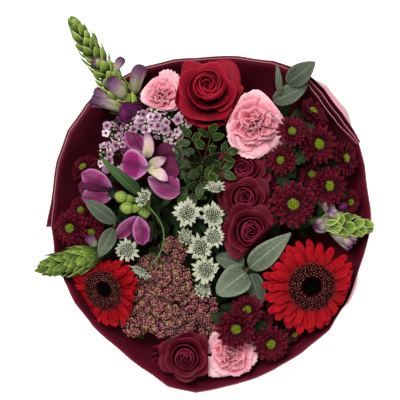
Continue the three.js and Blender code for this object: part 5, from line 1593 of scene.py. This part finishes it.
def twig_stalk(node, specs, summit):
    """A twig's stalk without its leaves, which are made anew."""
    def test(points):
        chosen = np.any([near_leaf(points, spec, 0.05, spec[2] * 0.62) for spec in specs], axis=0)
        return chosen & ~(np.hypot(*(points[:, :2] - summit[:2]).T) < 3.2)

    return stalk(node, test)


def eucalyptus(number, seed):
    """Stiff round leaves on short stalks, grey with bloom."""
    node = f"eucalyptus_{number}"
    summit = seen(TWIG_TOPS[number - 1])
    specs = EUCALYPTUS[number - 1]
    piece = Piece()
    piece.take(twig_stalk(node, specs, summit), finish=1)
    for k, (spec, head) in enumerate(zip(specs, EUCALYPTUS_LEAVES[number - 1])):
        start, end = seen(spec[0]), seen(spec[1])
        clasping = number == 3
        blunt = (0.5, 0.8, 0.5, 0.5)[k] if clasping else 0.7
        tint = (1.2, 1.1, 0.6, 0.4)[k] if clasping else 0.3 + 0.15 * k
        points = blade(
            piece, head, start, end, spec[2] * 1.08, full=0.62 if clasping else 0.85, fold=0.12, wave=0.6,
            blunt=blunt, blank=LEAF_BLADE, thickness=0.6, tint=tint,
        )
        rod(piece, summit - (0, 0, 2.0 * k), points[1, LEAF_BLADE.across // 2], 0.7)
    lower_leaves(piece, summit, np.random.default_rng(seed), 9, 32, 16, 2, (24, 90))
    finishes = ("eucalyptus", "twig", "deep_leaf")
    piece.made(f"{node}_leaves", "eucalyptus", finishes, [node])


def leafy_twig(number, seed):
    """Side twigs with pairs of small glossy leaves and one at the end."""
    node = f"leafy_twig_{number}"
    rng = np.random.default_rng(seed)
    summit = seen(SPRIG_TOPS[number - 1])
    specs = SPRIGS[number - 1]
    piece = Piece()
    piece.take(twig_stalk(node, specs, summit), finish=1)
    for k, (spec, head) in enumerate(zip(specs, SPRIG_LEAVES[number - 1])):
        start, end = seen(spec[0]), seen(spec[1])
        forward = end - start
        forward /= np.linalg.norm(forward)
        side = np.cross(forward, (0, 0, 1))
        side /= np.linalg.norm(side)
        foot = summit - (0, 0, 8.0 + 2.0 * k)
        middle = mix(foot, end, 0.45) + np.array([*rng.uniform(-4, 4, 2), 4.0])
        cane(piece, [foot, middle, end - forward * 2], 0.42, 2)
        for j in range(2):
            on = mix(foot, end, 0.4 + 0.36 * j + rng.uniform(-0.08, 0.08)) + (0, 0, rng.uniform(2, 6))
            for hand in (-1, 1):
                out = forward * rng.uniform(0.3, 0.9) + side * hand + np.array([0, 0, rng.uniform(-0.2, 0.6)])
                out *= rng.uniform(12, 19) / np.linalg.norm(out)
                up = np.array([rng.uniform(-0.9, 0.9), rng.uniform(-0.9, 0.9), 1.0])
                tone = rng.uniform(0.0, 1.0)
                wide = rng.uniform(6.5, 9.5)
                blade(
                    piece, head, on + out * 0.1, on + out, wide, up, 0.8, 0.3, -0.1, 0.5,
                    blunt=0.85, tint=tone,
                )
        blade(piece, head, end - forward * 4, end + forward * 12, 9, arch=-0.1, blunt=0.85, tint=0.8)
    lower_leaves(piece, summit, rng, 18, 26, 11, 3, (12, 80))
    finishes = ("leaf", "stem", "twig", "deep_leaf")
    piece.made(f"{node}_leaves", "leaf", finishes, [node])


# Alstroemeria


TEPALS = {  # foot, tip, width, finish, tint
    "open": [
        ([-60, 48, 362], [-82, 56, 364], 15, 1, 0.3),
        ([-46, 42, 362], [-22, 53, 366], 20, 1, 0.5),
        ([-57, 48, 366], [-73, 70, 370], 19, 0, 0.2),
        ([-47, 36, 366], [-19, 29, 372], 24, 1, 0.9),
        ([-52, 22, 366], [-18, 7, 372], 25, 0, 0.35),
        ([-51, 32, 370], [-84, 37, 376], 31, 0, 0.9),
        ([-53, 42, 370], [-53, 68, 380], 13, 2, 0.4),
        ([-51, 35, 374], [-34, 42, 382], 11, 2, 0.2),
        ([-52, 31, 374], [-32, 19, 382], 13, 2, 0.8),
    ],
    "side": [
        ([-89, 8, 352], [-122, 15, 358], 24, 1, 0.6),
        ([-88, 12, 358], [-118, 27, 366], 19, 0, 0.7),
        ([-87, 5, 358], [-118, 3, 366], 20, 0, 0.4),
        ([-88, 10, 362], [-121, 16, 370], 7, 1, 0.2),
    ],
    "drooping": [
        ([-66, -16, 354], [-72, -42, 358], 15, 1, 0.6),
        ([-62, -16, 358], [-84, -38, 364], 14, 0, 0.3),
        ([-61, -16, 362], [-57, -45, 368], 17, 0, 0.6),
        ([-58, -18, 358], [-50, -42, 362], 12, 1, 0.9),
    ],
}


def alstroemeria(name):
    """Broad tepals, dark on the shaded side, and narrow cream ones with stripes inside."""
    head = ALSTROEMERIA_HEADS[name]
    piece = Piece()
    for k, (foot, tip, width, kind, tint) in enumerate(TEPALS[name]):
        broad = kind < 2
        blade(
            piece, head, seen(foot), seen(tip), width * 1.05, (0.1, 0.1 * (-1) ** k, 1),
            1.25 if broad else 0.9, -0.25 if broad else 0.4, 0.12, 1.1, 0.0, 0.5,
            blank=BROAD, tint=tint, finish=kind,
        )
    foot = head.base + (0, 0, 2)
    for k in range(6 if name == "open" else 0):
        turn = TURN * k / 6
        reach = Vector((0.5 * math.cos(turn) + 0.3, 0.5 * math.sin(turn), 1)).normalized()
        local = PIN.points * (3.4, 3.4, 14) @ turned_to(reach).T
        piece.add(PIN, pressed(local + foot, head), tint=0.4, finish=2)
    finishes = ("alstroemeria", "alstroemeria_dark", "alstroemeria_inner")
    piece.made(f"alstroemeria_{name}_tepals", "alstroemeria", finishes, [f"alstroemeria_{name}_bloom"])


def alstroemeria_green(seed):
    """The alstroemeria's stalk, the swollen feet of its blooms, its buds and its long leaf."""
    piece = Piece()
    flower_heads = list(ALSTROEMERIA_HEADS.values())
    start, end = seen(ALSTROEMERIA_LEAF[0]), seen(ALSTROEMERIA_LEAF[1])

    def test(points):
        chosen = above(flower_heads, 7)(points) | above(BUD_HEADS, 1.0, 1.2)(points)
        return chosen | near_leaf(points, ALSTROEMERIA_LEAF, 0.02, 8)

    piece.take(stalk("alstroemeria_stem", test), finish=1)
    for head in flower_heads:
        pod(piece, head, 6.8, 10, -9.4, finish=1)
    for head, towards in zip(BUD_HEADS, ([-1, 0.25, 0.35], [-1, 0.1, 0.35], [-0.2, -1, 0.4])):
        axis = np.array(Vector(towards).normalized())
        middle = head.base + (0, 0, 9)
        tilted = head.within(middle - axis * 8, turned_to(axis))
        for k in range(6):
            petal(
                piece, tilted, BROAD, TURN * k / 6, lambda s: (0.8 + 5.4 * hump(s, 0, 1, 0.8), 16.0 * s),
                lambda s: 3.4 * hump(s, 0.1, 0.8), wrap=0.8, tint=0.5, finish=0,
            )
        piece.add(POD, pressed(tilted.place(POD.points * (10, 10, 15)), head), finish=0)
        cane(piece, [head.base - (0, 0, 6), middle - axis * 8], 1.2)
    for side, width in ((0, 10), (1, 7)):
        blade(
            piece, LONG_LEAF, start + np.array([4, 3, -6]) * side, end + np.array([9, -6, -8]) * side,
            width, full=0.9, fold=0.4, arch=0.1, wave=0.3, blank=LEAF_BLADE, tint=0.7 - 0.4 * side, finish=2,
        )
    rng = np.random.default_rng(seed)
    for head in flower_heads:
        underleaves(piece, head, rng, 4, 30, 8, 3, (8, 24))
    finishes = ("bud", "stem", "long_leaf", "deep_leaf")
    piece.made("alstroemeria_stems_and_buds", "stem", finishes, ["alstroemeria_stem"])


# Wrapper and ties


FOLDS = [  # angle, share of the height, reach round and up, depth: dents in the stiff paper
    (2.33, 0.88, 0.12, 0.08, 8.0),
    (2.9, 0.55, 0.2, 0.4, 3.0),
    (0.2, 0.7, 0.16, 0.3, 2.5),
    (3.9, 0.6, 0.2, 0.35, 3.0),
    (5.1, 0.62, 0.18, 0.3, 3.0),
    (1.4, 0.6, 0.16, 0.3, 2.5),
]
PAPER_SEED = 3  # both sheets ripple alike, so that neither cuts through the other


def paper_sheet(name, first, last, offset, drop, nodes):
    """One sheet between two rim corners, from a grid laid round the wall and given its thickness."""
    per, rows = 8, 26
    columns = (last - first) * per
    deselect()
    bpy.ops.mesh.primitive_grid_add(x_subdivisions=columns, y_subdivisions=rows, size=1, calc_uvs=True)
    thing = bpy.context.active_object
    thing.name = thing.data.name = name
    n = len(corners)
    points = read(thing.data.vertices, "co", 3)
    column = first + (points[:, 0] + 0.5) * columns / per
    row = points[:, 1] + 0.5
    whole = np.floor(column).astype(int)
    share = column - whole
    before, after = whole % n, (whole + 1) % n
    gap = np.mod(CORNER_ANGLE[after] - CORNER_ANGLE[before], TURN)
    angle = CORNER_ANGLE[before] + share * gap
    rim_height = mix(CORNER_HEIGHT[before], CORNER_HEIGHT[after], share)
    split = 0.18
    z = np.where(
        row < split, mix(PAPER_FOOT, TIE_HEIGHT, row / split),
        TIE_HEIGHT + (rim_height - TIE_HEIGHT) * (row - split) / (1 - split),
    )
    rise = np.clip((z - TIE_HEIGHT) / (rim_height - TIE_HEIGHT), 0, 1)
    ends = [radius_under(k, z) for k in (before, after)]
    for end, k in zip(ends, (before, after)):
        end += CORNER_BULGE[k] * np.maximum(0, 1 - np.abs(rise - 0.9) / 0.1)
    radius = mix(mix(*ends, share), chord_between(*ends, share, gap), 0.75)
    pleat = 0.5 - 0.5 * np.cos(math.pi * column)
    radius = radius + pleat * 2.2 * np.maximum(0, 1 - 1.5 * rise)
    rng = np.random.default_rng(PAPER_SEED)
    for turn, share, wide, high, depth in FOLDS:
        off = np.abs((angle - turn + math.pi) % TURN - math.pi) / wide + np.abs(rise - share) / high
        radius = radius - depth * np.maximum(0, 1 - off)
    for count in (5, 9, 14, 23):
        radius = radius + 0.35 * rise * np.sin(count * angle + rng.uniform(*ANY_TURN) + 2.0 * rise)
    radius = radius + PAPER / 2 + offset(column, rise, angle)
    z = z - drop * rise**4
    points[:, 0] = AXIS[0] + radius * np.cos(angle)
    points[:, 1] = AXIS[1] + radius * np.sin(angle)
    points[:, 2] = z
    thing.data.vertices.foreach_set("co", ((points + SHIFT) / MM).ravel())
    for material in ("paper_outside", "paper_inside", "paper_edge"):
        thing.data.materials.append(FINISHES[material])
    wall = thing.modifiers.new("paper thickness", "SOLIDIFY")
    wall.thickness = PAPER / MM
    wall.offset = 0.0
    wall.use_rim = True
    wall.material_offset = 1
    wall.material_offset_rim = 2
    apply_modifiers(thing)
    thing.data.shade_smooth()
    return settled(thing, nodes)


def wrapper():
    """The two sheets of paper, each laid round the wall at its own distance."""
    n = len(corners)

    def inner(column, rise, angle):
        """It laps over itself for three corners."""
        second = np.clip((column - n) * 2, 0, 1)
        out = 6.2 * swollen(angle) * np.interp(rise, [0.88, 0.955, 1.0], [0, 1, 0])
        return LAYER * second + out - (TUCK_IN - 3.5 * second) * drawn_in(angle) * smooth(rise, 0.8, 1.0)

    def outer(column, rise, angle):
        """Its end stands away from the inner sheet, and where the rim is drawn in its pink side shows."""
        away = LAYER * (2 - 0.75 * np.clip(column - 4.2, 0, 1)) + 3 * rise * np.clip(column - 14, 0, 1)
        return away + drawn_in(angle) ** 1.6 * np.interp(rise, [0.86, 0.955, 1.0], [0, 5.5, -2.5])

    paper_sheet("wrapper_inner_sheet", 1, n + 4, inner, 0.0, ["wrapper_inner"])
    paper_sheet("wrapper_outer_sheet", 1, 15, outer, 2.0, ["wrapper_outer"])


def twine():
    """Four turns of a two-ply twine; each ply winds round the other."""
    piece = Piece()
    for k in range(4):
        for ply in (0, math.pi):
            deselect()
            bpy.ops.mesh.primitive_torus_add(
                major_segments=160, minor_segments=6, major_radius=22.1, minor_radius=0.75
            )
            pattern = Pattern(bpy.context.active_object)
            turn = np.arctan2(pattern.points[:, 1], pattern.points[:, 0])
            swing = 28 * turn + ply
            aside = np.cos(swing)
            shift = np.stack([np.cos(turn) * aside, np.sin(turn) * aside, np.sin(swing)], axis=1)
            points = pattern.points + 0.6 * shift + (AXIS[0], AXIS[1], TIE_HEIGHT - 3.9 + 2.6 * k)
            piece.add(pattern, points, 0.5)
    piece.made("jute_twine", "twine", ["twine"], ["binding_twine"])


def ribbon_strip(piece, centre, across):
    """A strip of ribbon 12 mm wide laid along a line of places, with its own thickness."""
    surface_points = centre[:, None, :] + across[:, None, :] * np.linspace(-1, 1, 7)[None, :, None]
    blank = petal_blank(6, len(centre) - 1)
    piece.add(blank, skinned(blank, surface_points, 0.4), 0.5)


def ribbon():
    """Satin ribbon round the paper's waist, a knot in front and two tails."""
    waist = PAPER_RADIUS + 2.2 + 2 * LAYER + PAPER + 1.6
    band = Piece()
    deselect()
    bpy.ops.mesh.primitive_cylinder_add(vertices=96, radius=1, depth=1, end_fill_type="NOTHING")
    thing = opened()
    bpy.ops.mesh.select_all(action="SELECT")
    bpy.ops.mesh.subdivide(number_cuts=1)
    finish_edit()
    subdivided(thing, "SIMPLE")
    for vertex in thing.data.vertices:
        height = vertex.co.z * 13
        turn = math.atan2(vertex.co.y, vertex.co.x)
        pinch = 0.35 * math.sin(9 * turn) * math.sin(height * 1.3) + 0.3 * math.sin(17 * turn + height)
        radius = waist + 0.4 + 5.6 * (abs(height) / 7) ** 1.6 + pinch
        place = (AXIS[0] + radius * math.cos(turn), AXIS[1] + radius * math.sin(turn), TIE_HEIGHT + height)
        vertex.co = (np.array(place) + SHIFT) / MM
    wall = thing.modifiers.new("cloth", "SOLIDIFY")
    wall.thickness = 0.0005
    apply_modifiers(thing)
    band.take(thing)
    front = np.array([AXIS[0], AXIS[1] - waist, TIE_HEIGHT])
    knot = Pattern(knot_ball())
    for k, (x, z, wide, tall) in enumerate(((0, 0, 6.5, 5.5), (-2.5, 0.5, 4.5, 6.0), (2.5, -0.5, 4.5, 6.0))):
        band.add(knot, knot.points * (wide, 4.5, tall) + front + (x, -3 - 0.6 * (k == 0), z), 0.4 + 0.2 * k)
    ribbon_piece = band.made("satin_ribbon_band", "ribbon", ["satin"], ["ribbon"])
    for lean in (-1, 1):
        tail = Piece()
        down = np.linspace(0, 96, 30)
        out = np.interp(down, [0, 12, 46, 70, 96], [4, 11, 24, 27, 24])
        curl = lean * (2 + down * 0.22) + 1.5 * np.sin(down / 14)
        centre = np.stack([front[0] + curl, front[1] - out, front[2] - down], axis=1)
        twist = 0.35 * np.sin(down / 22 + lean)
        across = np.stack([np.cos(twist), np.sin(twist), 0.25 * lean + 0 * twist], axis=1)
        across *= (6 / np.linalg.norm(across, axis=1))[:, None]
        ribbon_strip(tail, centre, across)
        side = "left" if lean < 0 else "right"
        made = tail.made(f"satin_ribbon_tail_{side}", "ribbon", ["satin"], [])


def knot_ball():
    """A ball nipped at its waist, for the folds of the knot."""
    deselect()
    bpy.ops.mesh.primitive_uv_sphere_add(segments=16, ring_count=10, radius=1)
    thing = opened()
    pick_faces(thing, lambda middle, normal: abs(middle.x) < 0.25)
    bpy.ops.transform.resize(value=(1, 0.85, 0.85))
    finish_edit()
    return bpy.context.active_object


# Building

rose("red_rose", "red_rose", 15, 11, 0.24, 1.1, 0.22)
for k in range(5):
    rose(f"dark_rose_{k + 1}", "dark_rose", 11, 21 + k)
for k in range(3):
    carnation(k + 1, 31 + k)
for k in range(2):
    gerbera(k + 1, 41 + k)
for k in range(7):
    chrysanthemum_spray(k + 1, 51 + k)
for k in range(3):
    astrantia(k + 1, 61 + k)
sedum(71)
for k in range(2):
    waxflower(k + 1, 81 + k)
for k in range(3):
    snapdragon(k + 1, 91 + k)
for k in range(3):
    eucalyptus(k + 1, 101 + k)
for k in range(2):
    leafy_twig(k + 1, 131 + k)
for name in TEPALS:
    alstroemeria(name)
alstroemeria_green(161)
wrapper()
twine()
ribbon()

# Floor, light and camera


def studio():
    """A white floor that glows like the photo's ground, two soft lamps and a camera straight above."""
    deselect()
    bpy.ops.mesh.primitive_grid_add(x_subdivisions=12, y_subdivisions=12, size=5, location=(0, 0, 0))
    floor = bpy.context.active_object
    floor.name = "studio_floor"
    material, tree = finish("pale studio floor")
    place = add_node(tree, "TexCoord")
    grain = add_node(tree, "TexNoise", {"Vector": place.outputs["Object"], "Scale": scale_of(3.33)})
    body = add_node(tree, "ValToRGB", {0: grain}, [(0.3, "#F4F4F2"), (0.7, "#F8F8F6")])
    look = {"Base Color": body, "Roughness": 0.9, "Emission Color": body, "Emission Strength": 0.72}
    shader = add_node(tree, "BsdfPrincipled", look)
    add_node(tree, "OutputMaterial", {0: shader})
    floor.data.materials.append(material)
    world = bpy.data.worlds.new("studio")
    world.use_nodes = True
    world.node_tree.nodes["Background"].inputs[0].default_value = (1, 1, 1, 1)
    world.node_tree.nodes["Background"].inputs[1].default_value = 0.27
    bpy.context.scene.world = world
    for name, place, size, power in (
        ("overhead softbox", (-0.4, 0.7, 2.6), 0.9, 62),
        ("fill softbox", (1.6, -1.2, 1.8), 1.4, 16),
    ):
        data = bpy.data.lights.new(name, "AREA")
        data.size = size
        data.energy = power
        lamp = bpy.data.objects.new(name, data)
        lamp.location = place
        lamp.rotation_euler = (Vector((0, 0, 0.35)) - Vector(place)).to_track_quat("-Z", "Y").to_euler()
        bpy.context.scene.collection.objects.link(lamp)
    data = bpy.data.cameras.new("camera")
    data.sensor_fit = "AUTO"
    data.angle = 2 * math.atan(200 / (EYE_HEIGHT - FACE_HEIGHT))
    data.clip_start, data.clip_end = 0.1, 10
    camera = bpy.data.objects.new("camera", data)
    camera.location = (SHIFT[0] / MM, SHIFT[1] / MM, EYE_HEIGHT / MM)
    bpy.context.scene.collection.objects.link(camera)
    bpy.context.scene.camera = camera
    bpy.context.scene.view_settings.view_transform = "Standard"


studio()
